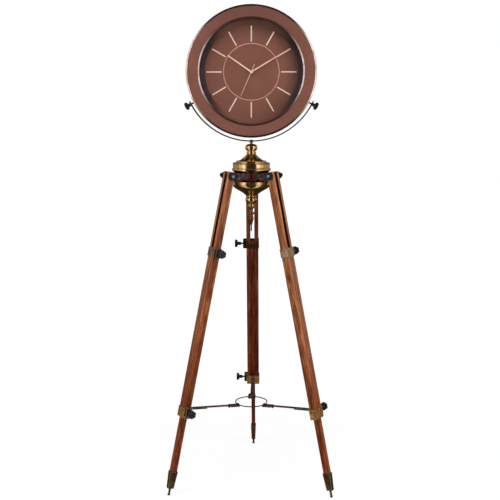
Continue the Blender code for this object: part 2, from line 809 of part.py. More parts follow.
def movement_shape():
    """The movement's box with its battery bay, bush, nut and stepped spindle."""
    body = bevelled(box(MOVEMENT_WIDE, MOVEMENT_WIDE, MOVEMENT_DEEP), LOOSE)
    body = shifted(body, z=MOVEMENT_FRONT - MOVEMENT_DEEP / 2)
    bay_high = 2 * (BATTERY_RADIUS + GAP)
    bay_long = BATTERY_LENGTH + BATTERY_BUTTON_LENGTH + 2 * GAP
    bay_deep = bay_high + OVERRUN
    bay = box(bay_long, bay_high, bay_deep)
    bay_z = MOVEMENT_FRONT - MOVEMENT_DEEP + bay_high - bay_deep / 2
    body = cut(body, shifted(bay, y=-BATTERY_BELOW_AXIS, z=bay_z))
    second_top = SECOND_PLANE + HAND_THICK
    spindle = [
        (0.0, second_top),
        (SECOND_PIN_RADIUS, second_top),
        (SECOND_PIN_RADIUS, MINUTE_PLANE + HAND_THICK + GAP),
        (MINUTE_PIPE_RADIUS, MINUTE_PLANE + HAND_THICK + GAP),
        (MINUTE_PIPE_RADIUS, HOUR_PLANE + HAND_THICK + GAP),
        (HOUR_PIPE_RADIUS, HOUR_PLANE + HAND_THICK + GAP),
        (HOUR_PIPE_RADIUS, HOUR_PLANE - GAP),
        (BUSH_NUT_RADIUS, HOUR_PLANE - GAP),
        (BUSH_NUT_RADIUS, DIAL_FACE + GAP),
        (BUSH_RADIUS, DIAL_FACE + GAP),
        (BUSH_RADIUS, MOVEMENT_FRONT - OVERRUN / 2),
        (0.0, MOVEMENT_FRONT - OVERRUN / 2),
    ]
    body = joined(body, turned(spindle, PIN_STEPS))
    socket = cylinder(SETTING_STEM_RADIUS + GAP, 2 * OVERRUN)
    return cut(body, shifted(socket, z=MOVEMENT_FRONT - MOVEMENT_DEEP))


def battery_shape():
    half = (BATTERY_LENGTH + BATTERY_BUTTON_LENGTH) / 2
    shoulder = half - BATTERY_BUTTON_LENGTH
    profile = [
        (0.0, half),
        (BATTERY_BUTTON_RADIUS, half),
        (BATTERY_BUTTON_RADIUS, shoulder),
        (BATTERY_RADIUS, shoulder),
        (BATTERY_RADIUS, -half),
        (0.0, -half),
    ]
    cell = turned_to(turned(profile, SMALL_STEPS), (1.0, 0.0, 0.0))
    depth = MOVEMENT_FRONT - MOVEMENT_DEEP + BATTERY_RADIUS + GAP
    return shifted(cell, y=-BATTERY_BELOW_AXIS, z=depth)


def back_cover_shape():
    """A dished lid lapping the back of the case, with a hole for the setting stem."""
    lid_radius = LID_OPENING_RADIUS + LID_LAP
    spigot = LID_OPENING_RADIUS - GAP
    hole = SETTING_STEM_RADIUS + GAP
    lap_top = -FRONT - GAP
    profile = [
        (hole, lap_top - LID_DOME + LID_THICK),
        (spigot / 2, lap_top + LID_THICK - LID_DOME / 2),
        (spigot - LID_THICK, lap_top + CASE_WALL),
        (spigot, lap_top + CASE_WALL),
        (spigot, lap_top),
        (lid_radius, lap_top),
        (lid_radius, LID_FACE),
        (spigot / 2, lap_top - LID_DOME / 2),
        (hole, lap_top - LID_DOME),
    ]
    return turned(profile, FINE_STEPS, closed=True)


def setting_knob_shape():
    """The stem from the movement's socket through the lid, with its knurled disc outside."""
    lid_back = -FRONT - GAP - LID_DOME
    knob_top = lid_back - GAP
    stem_top = MOVEMENT_FRONT - MOVEMENT_DEEP + OVERRUN - GAP
    disc = prism(lobed_outline(SETTING_KNOB_RADIUS, GAP, SMALL_STEPS // 2), SETTING_KNOB_THICK)
    disc = shifted(disc, z=knob_top - SETTING_KNOB_THICK / 2)
    stem_bottom = knob_top - SETTING_KNOB_THICK / 2
    stem = cylinder(SETTING_STEM_RADIUS, stem_top - stem_bottom)
    return joined(disc, shifted(stem, z=(stem_top + stem_bottom) / 2))


# Legs, in a leg's frame: Z up along the leg, Y outwards, X along the hinge bolt


def slat_shape(side):
    length = SLAT_ABOVE_HINGE + LOWER_COLLAR_AT + SLAT_BELOW_COLLAR_CENTRE
    slat = bevelled(box(SLAT_WIDE, SLAT_DEEP, length), WOOD_EDGE)
    slat = shifted(slat, x=side * (SLAT_SPACE + SLAT_WIDE) / 2, z=SLAT_ABOVE_HINGE - length / 2)
    hole = turned_to(cylinder(BOLT_RADIUS + GAP, 2 * LEG_HALF_WIDE + OVERRUN), (1.0, 0.0, 0.0))
    return cut(slat, hole)


def hinge_bolt_shape():
    """A round-headed bolt along Z: its head is at the top, and the wing nut's end at the bottom."""
    head = CHEEK_FACE + GAP
    end = -CHEEK_FACE - GAP - WING_HUB_LENGTH - WING_HEAD_THICK / 2
    profile = [
        (0.0, head + BOLT_HEAD_HIGH),
        (BOLT_HEAD_RADIUS / 2, head + BOLT_HEAD_HIGH),
        (BOLT_HEAD_RADIUS, head + BOLT_HEAD_HIGH / 2),
        (BOLT_HEAD_RADIUS, head),
        (BOLT_RADIUS, head),
        (BOLT_RADIUS, end),
        (0.0, end),
    ]
    return turned(profile, PIN_STEPS)


def wing_nut_shape():
    """Along Z: a hub with its base at the origin and a lobed head away from the leg."""
    length = WING_HUB_LENGTH + WING_HEAD_THICK
    head = prism(lobed_outline(WING_HEAD_RADIUS, WING_LOBE, WING_LOBES), WING_HEAD_THICK)
    head = shifted(head, z=length - WING_HEAD_THICK / 2)
    hub_length = length - WING_HEAD_THICK / 2
    hub = shifted(cylinder(WING_HUB_RADIUS, hub_length), z=hub_length / 2)
    bore = shifted(cylinder(BOLT_RADIUS + GAP, length + 2 * OVERRUN), z=length / 2)
    return cut(joined(head, hub), bore)


def inner_leg_shape():
    """The sliding leg, with its top rounded across the slats."""
    half = INNER_WIDE / 2
    top = arc((0.0, -INNER_TOP_AT - half), half, 0.0, 180.0, ARC_POINTS)
    bottom = -INNER_TOP_AT - INNER_LEG_LENGTH
    leg = prism([*top, (-half, bottom), (half, bottom)], SLAT_DEEP)
    return moved(leg, Matrix.Rotation(math.radians(90.0), 4, "X"))


def ferrule_shape():
    top = -INNER_TOP_AT - INNER_LEG_LENGTH - GAP
    wide = INNER_WIDE + 2 * FERRULE_STEP
    deep = SLAT_DEEP + 2 * FERRULE_STEP
    shape = bmesh.new()
    bmesh.ops.create_cube(shape, size=1.0)
    lower = [vert for vert in shape.verts if vert.co.z < 0.0]
    bmesh.ops.scale(shape, vec=(FERRULE_TAPER_SHARE, FERRULE_TAPER_SHARE, 1.0), verts=lower)
    bmesh.ops.scale(shape, vec=(wide, deep, FERRULE_LENGTH), verts=shape.verts)
    shoe = bevelled(from_bmesh("ferrule", shape), FERRULE_EDGE)
    shoe = shifted(shoe, z=top - FERRULE_LENGTH / 2)
    socket = cylinder(SPIKE_STUD_RADIUS + GAP, 2 * (SPIKE_STUD_LENGTH + GAP))
    return cut(shoe, shifted(socket, z=top - FERRULE_LENGTH))


def spike_shape():
    """A steel point with a stud into the ferrule, cut level with the floor."""
    top = -INNER_TOP_AT - INNER_LEG_LENGTH - GAP - FERRULE_LENGTH - GAP
    foot_high = SPIKE_FOOT_RADIUS
    profile = [
        (0.0, top + SPIKE_STUD_LENGTH),
        (SPIKE_STUD_RADIUS, top + SPIKE_STUD_LENGTH),
        (SPIKE_STUD_RADIUS, top),
        (SPIKE_FOOT_RADIUS, top),
        (SPIKE_RADIUS, top - SPIKE_RADIUS),
        (SPIKE_RADIUS, -FOOT_AT + foot_high),
        (SPIKE_FOOT_RADIUS, -FOOT_AT + foot_high / 2),
        (SPIKE_FOOT_RADIUS, -FOOT_AT - foot_high),
        (0.0, -FOOT_AT - foot_high),
    ]
    spike = turned(profile, PIN_STEPS)
    below = shifted(box(SPIKE_LENGTH, SPIKE_LENGTH, SPIKE_LENGTH), z=-SPIKE_LENGTH / 2)
    level = Matrix.Rotation(math.radians(-SPLAY_DEG), 4, "X")
    return cut(spike, shifted(moved(below, level), z=-FOOT_AT))


def collar_sleeve(high):
    """A rectangular sleeve round both slats, centred on the origin."""
    sleeve = box(2 * COLLAR_HALF_WIDE, 2 * COLLAR_HALF_DEEP, high)
    hole = box(2 * (LEG_HALF_WIDE + GAP), 2 * (LEG_HALF_DEEP + GAP), high + OVERRUN)
    return cut(sleeve, hole)


def knob_lug():
    """The boss that the clamp knob screws through, on the collar's -X side."""
    thick = LUG_OUT - GAP
    lug = bevelled(box(thick, LUG_DEEP, LUG_HIGH), LUG_EDGE)
    return shifted(lug, x=-LEG_HALF_WIDE - GAP - thick / 2)


def knob_bore():
    length = LUG_OUT + OVERRUN
    bore = turned_to(cylinder(KNOB_SHAFT_RADIUS + GAP, length), (1.0, 0.0, 0.0))
    return shifted(bore, x=-LEG_HALF_WIDE - LUG_OUT / 2)


def upper_collar_shape():
    notch = box(UPPER_NOTCH_WIDE, 2 * COLLAR_WALL + OVERRUN, 2 * UPPER_NOTCH_DEEP)
    notch = shifted(notch, y=-COLLAR_HALF_DEEP, z=UPPER_COLLAR_HIGH / 2)
    collar = joined(cut(collar_sleeve(UPPER_COLLAR_HIGH), notch), knob_lug())
    return shifted(cut(collar, knob_bore()), z=-UPPER_COLLAR_AT)


def pivot_ear():
    """One of the two ears for a strut's pivot, in the plane of Y and Z."""
    root = COLLAR_HALF_DEEP - COLLAR_WALL / 2
    end = arc((PIVOT_IN, 0.0), EYE_RADIUS, -90.0, 90.0, ARC_POINTS)
    outline = [(root, -EYE_RADIUS), *end, (root, EYE_RADIUS)]
    ear = prism([(-y, z) for y, z in reversed(outline)], EAR_THICK)
    stand = Matrix.Rotation(math.radians(90.0), 4, "X")
    return moved(ear, Matrix.Rotation(math.radians(90.0), 4, "Z") @ stand)


def foot_ear(side):
    """A rounded ear at a lower corner of the lower collar."""
    ear = turned_to(cylinder(FOOT_EAR_RADIUS, FOOT_EAR_THICK), (1.0, 0.0, 0.0))
    x = side * (COLLAR_HALF_WIDE - COLLAR_WALL / 2)
    return shifted(ear, x=x, z=-LOWER_COLLAR_HIGH / 2 - FOOT_EAR_BELOW + FOOT_EAR_RADIUS)


def lower_collar_shape():
    """The cast bracket: sleeve, knob lug, lower ears, and the strut's pivot ears with their pin."""
    collar = joined(collar_sleeve(LOWER_COLLAR_HIGH), foot_ear(-1), foot_ear(1))
    knob_up = LOWER_COLLAR_AT - LOWER_KNOB_AT
    collar = joined(collar, shifted(knob_lug(), z=knob_up))
    collar = cut(collar, shifted(knob_bore(), z=knob_up))
    pivot_up = LOWER_COLLAR_AT - PIVOT_AT
    ear_x = EYE_WIDE / 2 + GAP + EAR_THICK / 2
    for side in (-1, 1):
        collar = joined(collar, shifted(pivot_ear(), x=side * ear_x, z=pivot_up))
    pin = turned_to(cylinder(PIVOT_PIN_RADIUS, 2 * ear_x), (1.0, 0.0, 0.0))
    collar = joined(collar, shifted(pin, y=-PIVOT_IN, z=pivot_up))
    return shifted(collar, z=-LOWER_COLLAR_AT)


def clamp_knob_shape():
    """Along Z: the shaft's end is at the slat, a gap above the origin, and the head outwards."""
    head_middle = KNOB_HEAD_AT + KNOB_HEAD_THICK / 2
    profile = [
        (0.0, head_middle),
        (KNOB_CONE_RADIUS, head_middle),
        (KNOB_CONE_RADIUS, KNOB_HEAD_AT),
        (KNOB_CONE_SMALL_RADIUS, KNOB_CONE_AT),
        (KNOB_SHAFT_RADIUS, KNOB_CONE_AT),
        (KNOB_SHAFT_RADIUS, GAP),
        (0.0, GAP),
    ]
    head = prism(lobed_outline(KNOB_HEAD_RADIUS, KNOB_LOBE, KNOB_LOBES), KNOB_HEAD_THICK)
    return joined(shifted(head, z=head_middle), turned(profile, PIN_STEPS))


# Spreader


def pivot_place():
    """The strut pivot's distance from the tripod's axis, and its height from the hinge plane."""
    splay = math.radians(SPLAY_DEG)
    radius = HINGE_RADIUS + PIVOT_AT * math.sin(splay) - PIVOT_IN * math.cos(splay)
    height = -PIVOT_AT * math.cos(splay) - PIVOT_IN * math.sin(splay)
    return radius, height


def ring_in_strut():
    """Where the ring's tube lies in the strut: along it from the pivot, and above its middle."""
    above = HOOK_PLATE_THICK / 2 + GAP + RING_TUBE_RADIUS
    drop = math.radians(STRUT_DROP_DEG)
    along = (pivot_place()[0] - RING_RADIUS - above * math.sin(drop)) / math.cos(drop)
    return along, above


def ring_height():
    along, above = ring_in_strut()
    drop = math.radians(STRUT_DROP_DEG)
    return pivot_place()[1] - along * math.sin(drop) + above * math.cos(drop)


def spreader_arm_shape():
    """Along -Y from its eye at the origin: a strip, a doubler below it, and a hooked end plate."""
    along, above = ring_in_strut()
    inside = RING_RADIUS - RING_TUBE_RADIUS
    hook_at = along + RING_TUBE_RADIUS + GAP + sagitta(inside, HOOK_WIDE / 2)
    end = hook_at + HOOK_THICK
    eye = turned_to(cylinder(EYE_RADIUS, EYE_WIDE, SMALL_STEPS), (1.0, 0.0, 0.0))
    strip_end = end - HOOK_PLATE_LENGTH / 2
    strip = shifted(box(STRUT_WIDE, strip_end, STRUT_THICK), y=-strip_end / 2)
    doubler_high = DOUBLER_THICK + STRUT_THICK / 2
    doubler_middle = (EYE_RADIUS + DOUBLER_LENGTH) / 2
    doubler = box(DOUBLER_WIDE, DOUBLER_LENGTH, doubler_high)
    doubler = shifted(doubler, y=-doubler_middle, z=-doubler_high / 2)
    plate = box(HOOK_PLATE_WIDE, HOOK_PLATE_LENGTH, HOOK_PLATE_THICK)
    plate = shifted(plate, y=-end + HOOK_PLATE_LENGTH / 2)
    rise = above + RING_TUBE_RADIUS + HOOK_RISE
    hook = shifted(box(HOOK_WIDE, HOOK_THICK, rise), y=-end + HOOK_THICK / 2, z=rise / 2)
    arm = joined(strip, doubler, eye, plate, hook)
    return cut(arm, turned_to(cylinder(PIVOT_PIN_RADIUS + GAP, EYE_WIDE + OVERRUN), (1.0, 0.0, 0.0)))


def spreader_ring_shape():
    bpy.ops.mesh.primitive_torus_add(
        major_radius=RING_RADIUS,
        minor_radius=RING_TUBE_RADIUS,
        major_segments=RING_STEPS,
        minor_segments=TUBE_STEPS,
    )
    return bpy.context.active_object


# Assembly


def leg_frame(azimuth_deg):
    """A leg's frame on its hinge axis: Z up along the leg, Y outwards, X along the bolt."""
    azimuth = math.radians(azimuth_deg)
    splay = math.radians(SPLAY_DEG)
    outward = Vector((math.cos(azimuth), math.sin(azimuth), 0.0))
    up = Vector((0.0, 0.0, 1.0))
    along = up * math.cos(splay) - outward * math.sin(splay)
    across = outward * math.cos(splay) + up * math.sin(splay)
    frame = Matrix((across.cross(along), across, along)).transposed().to_4x4()
    frame.translation = outward * HINGE_RADIUS
    return frame


def side_frame(x, z, side):
    """On a leg's flank at x, with Z pointing out of it on the given side."""
    rotation = Vector((0.0, 0.0, 1.0)).rotation_difference(Vector((side, 0.0, 0.0)))
    return Matrix.Translation((x, 0.0, z)) @ rotation.to_matrix().to_4x4()


def build_head(parts, root, materials):
    shapes = {
        "head_cap": (head_cap_shape(), "brass"),
        "drum": (drum_shape(), "brass"),
        "leg_plate": (leg_plate_shape(), "bronze"),
        "lower_bowl": (lower_bowl_shape(), "brass"),
        "pendant": (pendant_shape(), "brass"),
        "tie_rod": (tie_rod_shape(), "steel"),
    }
    for name, (shape, material) in shapes.items():
        add_part(name, finished(shape, materials[material]), parts, root)


def build_fork(parts, root, materials):
    """The parts that swivel on the head, and the empty in the middle of the clock."""
    swivel = add_empty("swivel_axis", parts, root, Matrix.Identity(4))
    add_part("swivel_stem", finished(swivel_stem_shape(), materials["brass"]), parts, swivel)
    up = Matrix.Translation((0.0, 0.0, CLOCK_CENTRE_UP))
    stand = Matrix.Rotation(math.radians(90.0), 4, "X")
    centre = add_empty("fork_centre", parts, swivel, up @ stand)
    add_part("fork", finished(fork_shape(), materials["brass"]), parts, centre)
    add_part("fork_screw", finished(fork_screw_shape(), materials["steel"]), parts, centre)
    thumbscrew = finished(thumbscrew_shape(), materials["black"])
    for name, side in (("thumbscrew_left", -1), ("thumbscrew_right", 1)):
        add_part(name, thumbscrew, parts, centre, radial_frame(side))
    return centre


def build_clock(parts, centre, materials):
    tilt = add_empty("tilt_axis", parts, centre, Matrix.Translation((0.0, -TILT_BELOW_CENTRE, 0.0)))
    clock = add_empty("clock_centre", parts, tilt, Matrix.Translation((0.0, TILT_BELOW_CENTRE, 0.0)))
    shapes = {
        "case": (case_shape(), "copper"),
        "edge_ring": (edge_ring_shape(), "brass"),
        "bezel": (bezel_shape(), "brass"),
        "glass": (glass_shape(), "glass"),
        "dial": (dial_shape(), "copper"),
        "movement": (movement_shape(), "black"),
        "battery": (battery_shape(), "steel"),
        "back_cover": (back_cover_shape(), "black"),
        "setting_knob": (setting_knob_shape(), "black"),
    }
    for name, (shape, material) in shapes.items():
        add_part(name, finished(shape, materials[material]), parts, clock)
    blades = {
        "hour_hand": (HOUR_LENGTH, HUB_WALL, HOUR_WIDE, HOUR_PIPE_RADIUS + GAP),
        "minute_hand": (MINUTE_LENGTH, HUB_WALL, MINUTE_WIDE, MINUTE_PIPE_RADIUS + GAP),
        "second_hand": (SECOND_LENGTH, SECOND_TAIL, SECOND_WIDE, SECOND_PIN_RADIUS + GAP),
    }
    places = {
        "hour_hand": (HOUR_PLANE, HOUR_ANGLE_DEG),
        "minute_hand": (MINUTE_PLANE, MINUTE_ANGLE_DEG),
        "second_hand": (SECOND_PLANE, SECOND_ANGLE_DEG),
    }
    for name, (plane, angle_deg) in places.items():
        mesh = finished(hand_shape(*blades[name]), materials["gold"])
        turn = Matrix.Rotation(math.radians(-angle_deg), 4, "Z")
        add_part(name, mesh, parts, clock, Matrix.Translation((0.0, 0.0, plane)) @ turn)


def leg_meshes(materials):
    """The meshes that all three legs share."""
    shapes = {
        "slat_a": (slat_shape(-1), "wood"),
        "slat_b": (slat_shape(1), "wood"),
        "hinge_bolt": (hinge_bolt_shape(), "steel"),
        "wing_nut": (wing_nut_shape(), "black"),
        "upper_collar": (upper_collar_shape(), "bronze"),
        "lower_collar": (lower_collar_shape(), "cast_brass"),
        "clamp_knob": (clamp_knob_shape(), "black"),
        "inner_leg": (inner_leg_shape(), "wood"),
        "ferrule": (ferrule_shape(), "cast_brass"),
        "spike": (spike_shape(), "steel"),
        "spreader_arm": (spreader_arm_shape(), "steel"),
    }
    return {name: finished(shape, materials[material]) for name, (shape, material) in shapes.items()}


def build_leg(place, azimuth_deg, parts, root, meshes):
    hinge = add_empty(f"leg_hinge_{place}", parts, root, leg_frame(azimuth_deg))
    for name in ("slat_a", "slat_b", "lower_collar", "inner_leg", "upper_collar", "ferrule", "spike"):
        add_part(f"{name}_{place}", meshes[name], parts, hinge)
    wing_side = WING_SIDES[place]
    bolt_frame = side_frame(0.0, 0.0, -wing_side)
    add_part(f"hinge_bolt_{place}", meshes["hinge_bolt"], parts, hinge, bolt_frame)
    wing_frame = side_frame(wing_side * (CHEEK_FACE + GAP), 0.0, wing_side)
    add_part(f"wing_nut_{place}", meshes["wing_nut"], parts, hinge, wing_frame)
    for name, at in (("upper_knob", UPPER_COLLAR_AT), ("lower_knob", LOWER_KNOB_AT)):
        knob_frame = side_frame(-LEG_HALF_WIDE, -at, -1.0)
        add_part(f"{name}_{place}", meshes["clamp_knob"], parts, hinge, knob_frame)
    tip = Matrix.Rotation(math.radians(STRUT_DROP_DEG - SPLAY_DEG), 4, "X")
    pivot = Matrix.Translation((0.0, -PIVOT_IN, -PIVOT_AT)) @ tip
    add_part(f"spreader_arm_{place}", meshes["spreader_arm"], parts, hinge, pivot)


def stand_on_floor(parts, root):
    """Moves the clock so that the middle of its bounding box, at the bottom, is the origin."""
    bpy.context.view_layer.update()
    solids = [obj for obj in parts.objects if obj.type == "MESH"]
    corners = [obj.matrix_world @ vert.co for obj in solids for vert in obj.data.vertices]
    low = Vector([min(corner[axis] for corner in corners) for axis in range(3)])
    high = Vector([max(corner[axis] for corner in corners) for axis in range(3)])
    middle = (low + high) / 2
    root.location -= Vector((middle.x, middle.y, low.z))
    bpy.context.view_layer.update()


def build():
    clear_scene()
    parts = make_collection("floor_clock")
    materials = make_materials()
    root = add_empty("tripod_axis", parts, None, Matrix.Identity(4))
    build_head(parts, root, materials)
    build_clock(parts, build_fork(parts, root, materials), materials)
    meshes = leg_meshes(materials)
    for place, azimuth_deg in LEG_AZIMUTHS_DEG.items():
        build_leg(place, azimuth_deg, parts, root, meshes)
    ring = finished(spreader_ring_shape(), materials["steel"])
    add_part("spreader_ring", ring, parts, root, Matrix.Translation((0.0, 0.0, ring_height())))
    stand_on_floor(parts, root)


build()
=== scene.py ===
"""Looks of the floor clock: smooth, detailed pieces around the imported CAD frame.

Pieces are drawn in millimetres. Matrices, the stage and places read from the frame are in metres. +Z is
up and the dial faces -Y. Turned pieces stand on the tripod's axis with heights from the plane of the leg
hinges, clock pieces lie in a frame in the middle of the dial, and leg pieces in a frame on each leg's
hinge axis (Z up along the leg, Y outwards, X along the bolt).
"""

import math

import bmesh
import bpy
from mathutils import Matrix, Vector


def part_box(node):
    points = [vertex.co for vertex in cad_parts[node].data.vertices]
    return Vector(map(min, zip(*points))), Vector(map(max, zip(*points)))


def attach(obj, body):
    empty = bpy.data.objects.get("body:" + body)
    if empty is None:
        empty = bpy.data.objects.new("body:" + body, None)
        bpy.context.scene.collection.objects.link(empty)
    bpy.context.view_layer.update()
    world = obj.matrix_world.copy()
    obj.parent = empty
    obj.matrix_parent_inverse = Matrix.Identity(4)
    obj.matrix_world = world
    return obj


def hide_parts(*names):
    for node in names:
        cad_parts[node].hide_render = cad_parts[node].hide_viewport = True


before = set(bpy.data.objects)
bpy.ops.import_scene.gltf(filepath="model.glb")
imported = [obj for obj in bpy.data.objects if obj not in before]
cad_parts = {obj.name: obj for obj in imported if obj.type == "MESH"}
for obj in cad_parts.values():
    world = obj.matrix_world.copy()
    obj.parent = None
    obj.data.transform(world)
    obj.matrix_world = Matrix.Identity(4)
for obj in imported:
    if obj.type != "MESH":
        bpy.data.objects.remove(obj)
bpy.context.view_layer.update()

MM = 0.001

# Sizes that the CAD part has too, in millimetres
GAP = 0.3
CASE_RADIUS = 201.0
DRUM_FOOT = 10.3
HINGE_RADIUS = 80.0331
SPLAY_DEG = 12.25
SLAT_WIDE = 13.4
SLAT_DEEP = 21.7
SLAT_SPACE = 13.5
SLAT_TOP = 13.0
SLAT_FOOT = 775.3
LEG_HALF_WIDE = SLAT_SPACE / 2 + SLAT_WIDE
LEG_HALF_DEEP = SLAT_DEEP / 2
CHEEK_ROOM = 0.4
CHEEK_THICK = 4.5
CHEEK_END_RADIUS = 13.0
CHEEK_TOP = 9.5
CHEEK_FACE = LEG_HALF_WIDE + CHEEK_ROOM + CHEEK_THICK
HINGE_FACE = CHEEK_FACE + GAP
CAD_COLLAR_WALL = 2.2
COLLAR_HALF_WIDE = LEG_HALF_WIDE + GAP + CAD_COLLAR_WALL
COLLAR_HALF_DEEP = LEG_HALF_DEEP + GAP + CAD_COLLAR_WALL
UPPER_COLLAR_AT = 243.9
LOWER_COLLAR_AT = 763.3
LOWER_KNOB_AT = 754.0
INNER_TOP_AT = 228.6
INNER_LEG_LENGTH = 726.2
INNER_BOTTOM_AT = INNER_TOP_AT + INNER_LEG_LENGTH
FERRULE_LENGTH = 56.6
SPIKE_LENGTH = 21.6
FOOT_AT = INNER_BOTTOM_AT + 2 * GAP + FERRULE_LENGTH + SPIKE_LENGTH
PIVOT_AT = 747.4
PIVOT_IN = 19.0
STRUT_DROP_DEG = 6.06
RING_RADIUS = 52.0
WIRE_RADIUS = 1.75
THUMBSCREW_DEG = 27.5
FORK_TIP_DEG = 24.7
FORK_OUTER = 215.4
FORK_WIDE = 21.0

# Sizes of the pieces themselves, in millimetres
DIAL_FLAT = 142.0
CONE_RIM = 158.5
RIM_SHADE = (104.0, 146.0)
FORK_INNER = 211.9
HINGE_BORE = 3.5
KNOB_BORE = 3.1
COLLAR_WALL = 1.5
COLLAR_WIDE = 2 * (LEG_HALF_WIDE + GAP + COLLAR_WALL)
COLLAR_DEEP = 2 * (LEG_HALF_DEEP + GAP + COLLAR_WALL)

# Each leg's azimuth and the side of its hinge nut
LEGS = {"back": (90.0, 1.0), "front_left": (210.0, 1.0), "front_right": (330.0, -1.0)}
# How light, how golden and how grey each leg's wood is; the back leg's low lightness is painted shade
WOOD_TONES_AND_SHADE = {
    "back": {"slat_a": (0.58, 0.6), "slat_b": (0.48, 0.1), "inner_leg": (0.45, 0.1)},
    "front_left": {"slat_a": (1.02, 0.2), "slat_b": (0.98, 0.9, 0.5), "inner_leg": (0.96, 0.35)},
    "front_right": {"slat_a": (0.98, 0.75, 0.2), "slat_b": (1.1, 0.25), "inner_leg": (0.96, 0.4)},
}
# The painted shade of each leg's wood towards its foot, and the heights between which it comes in
WOOD_SHADE_AT_FEET = {
    "back": ((0.95, 0.8, 0.6), -160.0, -680.0),
    "front_left": ((0.66, 0.47, 0.32), -120.0, -640.0),
    "front_right": ((0.76, 0.54, 0.40), -400.0, -740.0),
}
# How far the grain of each piece of wood is moved from the one before it
GRAIN_STEP = 1.7
# The bronze of each leg's upper collar. The back leg's is darker, as painted shade.
UPPER_COLLAR_BRONZE = {"back": "bronze_dark", "front_left": "bronze", "front_right": "bronze_light"}

# Steps round a turned piece, and the angle from which an edge is sharp
FINE = 192
ROUND = 96
SMALL = 48
SLIM = 32
EDGE_DEG = 32.0

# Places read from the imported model
rod_low, rod_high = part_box("tie_rod")
AXIS = Vector(((rod_low.x + rod_high.x) / 2, (rod_low.y + rod_high.y) / 2, 0.0))
HINGE_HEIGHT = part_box("drum")[0].z - DRUM_FOOT * MM
glass_low, glass_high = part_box("glass")
CLOCK_HEIGHT = (glass_low.z + glass_high.z) / 2


def about(axis, degrees):
    return Matrix.Rotation(math.radians(degrees), 4, axis)


def by(x=0.0, y=0.0, z=0.0):
    """A move by millimetres."""
    return Matrix.Translation((x * MM, y * MM, z * MM))


def from_z(axis):
    """The turn that takes +Z to an axis."""
    return Vector((0, 0, 1)).rotation_difference(Vector(axis)).to_matrix().to_4x4()


def leg_matrix(azimuth_deg):
    azimuth, splay = math.radians(azimuth_deg), math.radians(SPLAY_DEG)
    outward = Vector((math.cos(azimuth), math.sin(azimuth), 0.0))
    up = Vector((0.0, 0.0, 1.0))
    leg_up = up * math.cos(splay) - outward * math.sin(splay)
    across = outward * math.cos(splay) + up * math.sin(splay)
    matrix = Matrix((across.cross(leg_up), across, leg_up)).transposed().to_4x4()
    matrix.translation = AXIS + outward * (HINGE_RADIUS * MM) + up * HINGE_HEIGHT
    return matrix


HEAD = Matrix.Translation((AXIS.x, AXIS.y, HINGE_HEIGHT))
CLOCK = Matrix.Translation((AXIS.x, AXIS.y, CLOCK_HEIGHT)) @ about("X", 90.0)


# Mesh helpers, which take millimetres


def link(name, mesh):
    obj = bpy.data.objects.new(name, mesh)
    bpy.context.scene.collection.objects.link(obj)
    return obj


def from_bmesh(shape):
    bmesh.ops.recalc_face_normals(shape, faces=shape.faces)
    mesh = bpy.data.meshes.new("shape")
    shape.to_mesh(mesh)
    shape.free()
    return link("shape", mesh)


def applied(obj):
    bpy.context.view_layer.update()
    graph = bpy.context.evaluated_depsgraph_get()
    mesh = bpy.data.meshes.new_from_object(obj.evaluated_get(graph))
    mesh.transform(obj.matrix_world)
    result = link(obj.name, mesh)
    bpy.data.objects.remove(obj, do_unlink=True)
    return result


def moved(obj, matrix):
    obj.data.transform(matrix)
    return obj


def shifted(obj, x=0.0, y=0.0, z=0.0):
    return moved(obj, by(x, y, z))


def along_x(obj):
    return moved(obj, from_z((1, 0, 0)))


def bevelled(obj, width, segments=3):
    bevel = obj.modifiers.new("Bevel", "BEVEL")
    bevel.width = width * MM
    bevel.segments = segments
    bevel.limit_method = "ANGLE"
    bevel.angle_limit = math.radians(EDGE_DEG)
    return applied(obj)


def combined(obj, other, operation):
    boolean = obj.modifiers.new("Boolean", "BOOLEAN")
    boolean.operation = operation
    boolean.solver = "EXACT"
    boolean.object = other
    result = applied(obj)
    bpy.data.objects.remove(other, do_unlink=True)
    return result


def joined(obj, *others):
    for other in others:
        obj = combined(obj, other, "UNION")
    return obj


def cut(obj, *cutters):
    for cutter in cutters:
        obj = combined(obj, cutter, "DIFFERENCE")
    return obj


def merged(objects):
    """One object with the meshes of all, none of which touches another."""
    shape = bmesh.new()
    for obj in objects:
        shape.from_mesh(obj.data)
        bpy.data.objects.remove(obj, do_unlink=True)
    return from_bmesh(shape)


def block(wide, deep, high, edge=0.0, segments=3, foot=1.0):
    """A box round the origin with rounded edges. Foot is how wide its foot is, as a share of its top."""
    shape = bmesh.new()
    bmesh.ops.create_cube(shape, size=1.0)
    lower = [vert for vert in shape.verts if vert.co.z < 0.0]
    bmesh.ops.scale(shape, vec=(foot, foot, 1.0), verts=lower)
    bmesh.ops.scale(shape, vec=(wide * MM, deep * MM, high * MM), verts=shape.verts)
    obj = from_bmesh(shape)
    return bevelled(obj, edge, segments) if edge else obj


def arc(centre, radius, start_deg, end_deg, points):
    step = (end_deg - start_deg) / (points - 1)
    angles = [math.radians(start_deg + step * index) for index in range(points)]
    return [(centre[0] + radius * math.cos(a), centre[1] + radius * math.sin(a)) for a in angles]


def filleted(points, closed=False, count=4):
    """Rounds the corners of (radius, height, fillet) points. A point without a fillet stays sharp."""
    result = []
    total = len(points)
    for index, point in enumerate(points):
        here = Vector(point[:2])
        fillet = point[2] if len(point) > 2 else 0.0
        if not fillet or (not closed and index in (0, total - 1)):
            result.append(tuple(here))
            continue
        before = Vector(points[index - 1][:2]) - here
        after = Vector(points[(index + 1) % total][:2]) - here
        reach = min(fillet, before.length * 0.49, after.length * 0.49)
        start, end = here + before.normalized() * reach, here + after.normalized() * reach
        for step in range(count + 1):
            t = step / count
            result.append(tuple(start * (1 - t) ** 2 + here * (2 * t * (1 - t)) + end * t * t))
    return result


def rounded_outline(points, fillet, count=6):
    return filleted([(x, y, fillet) for x, y in points], closed=True, count=count)


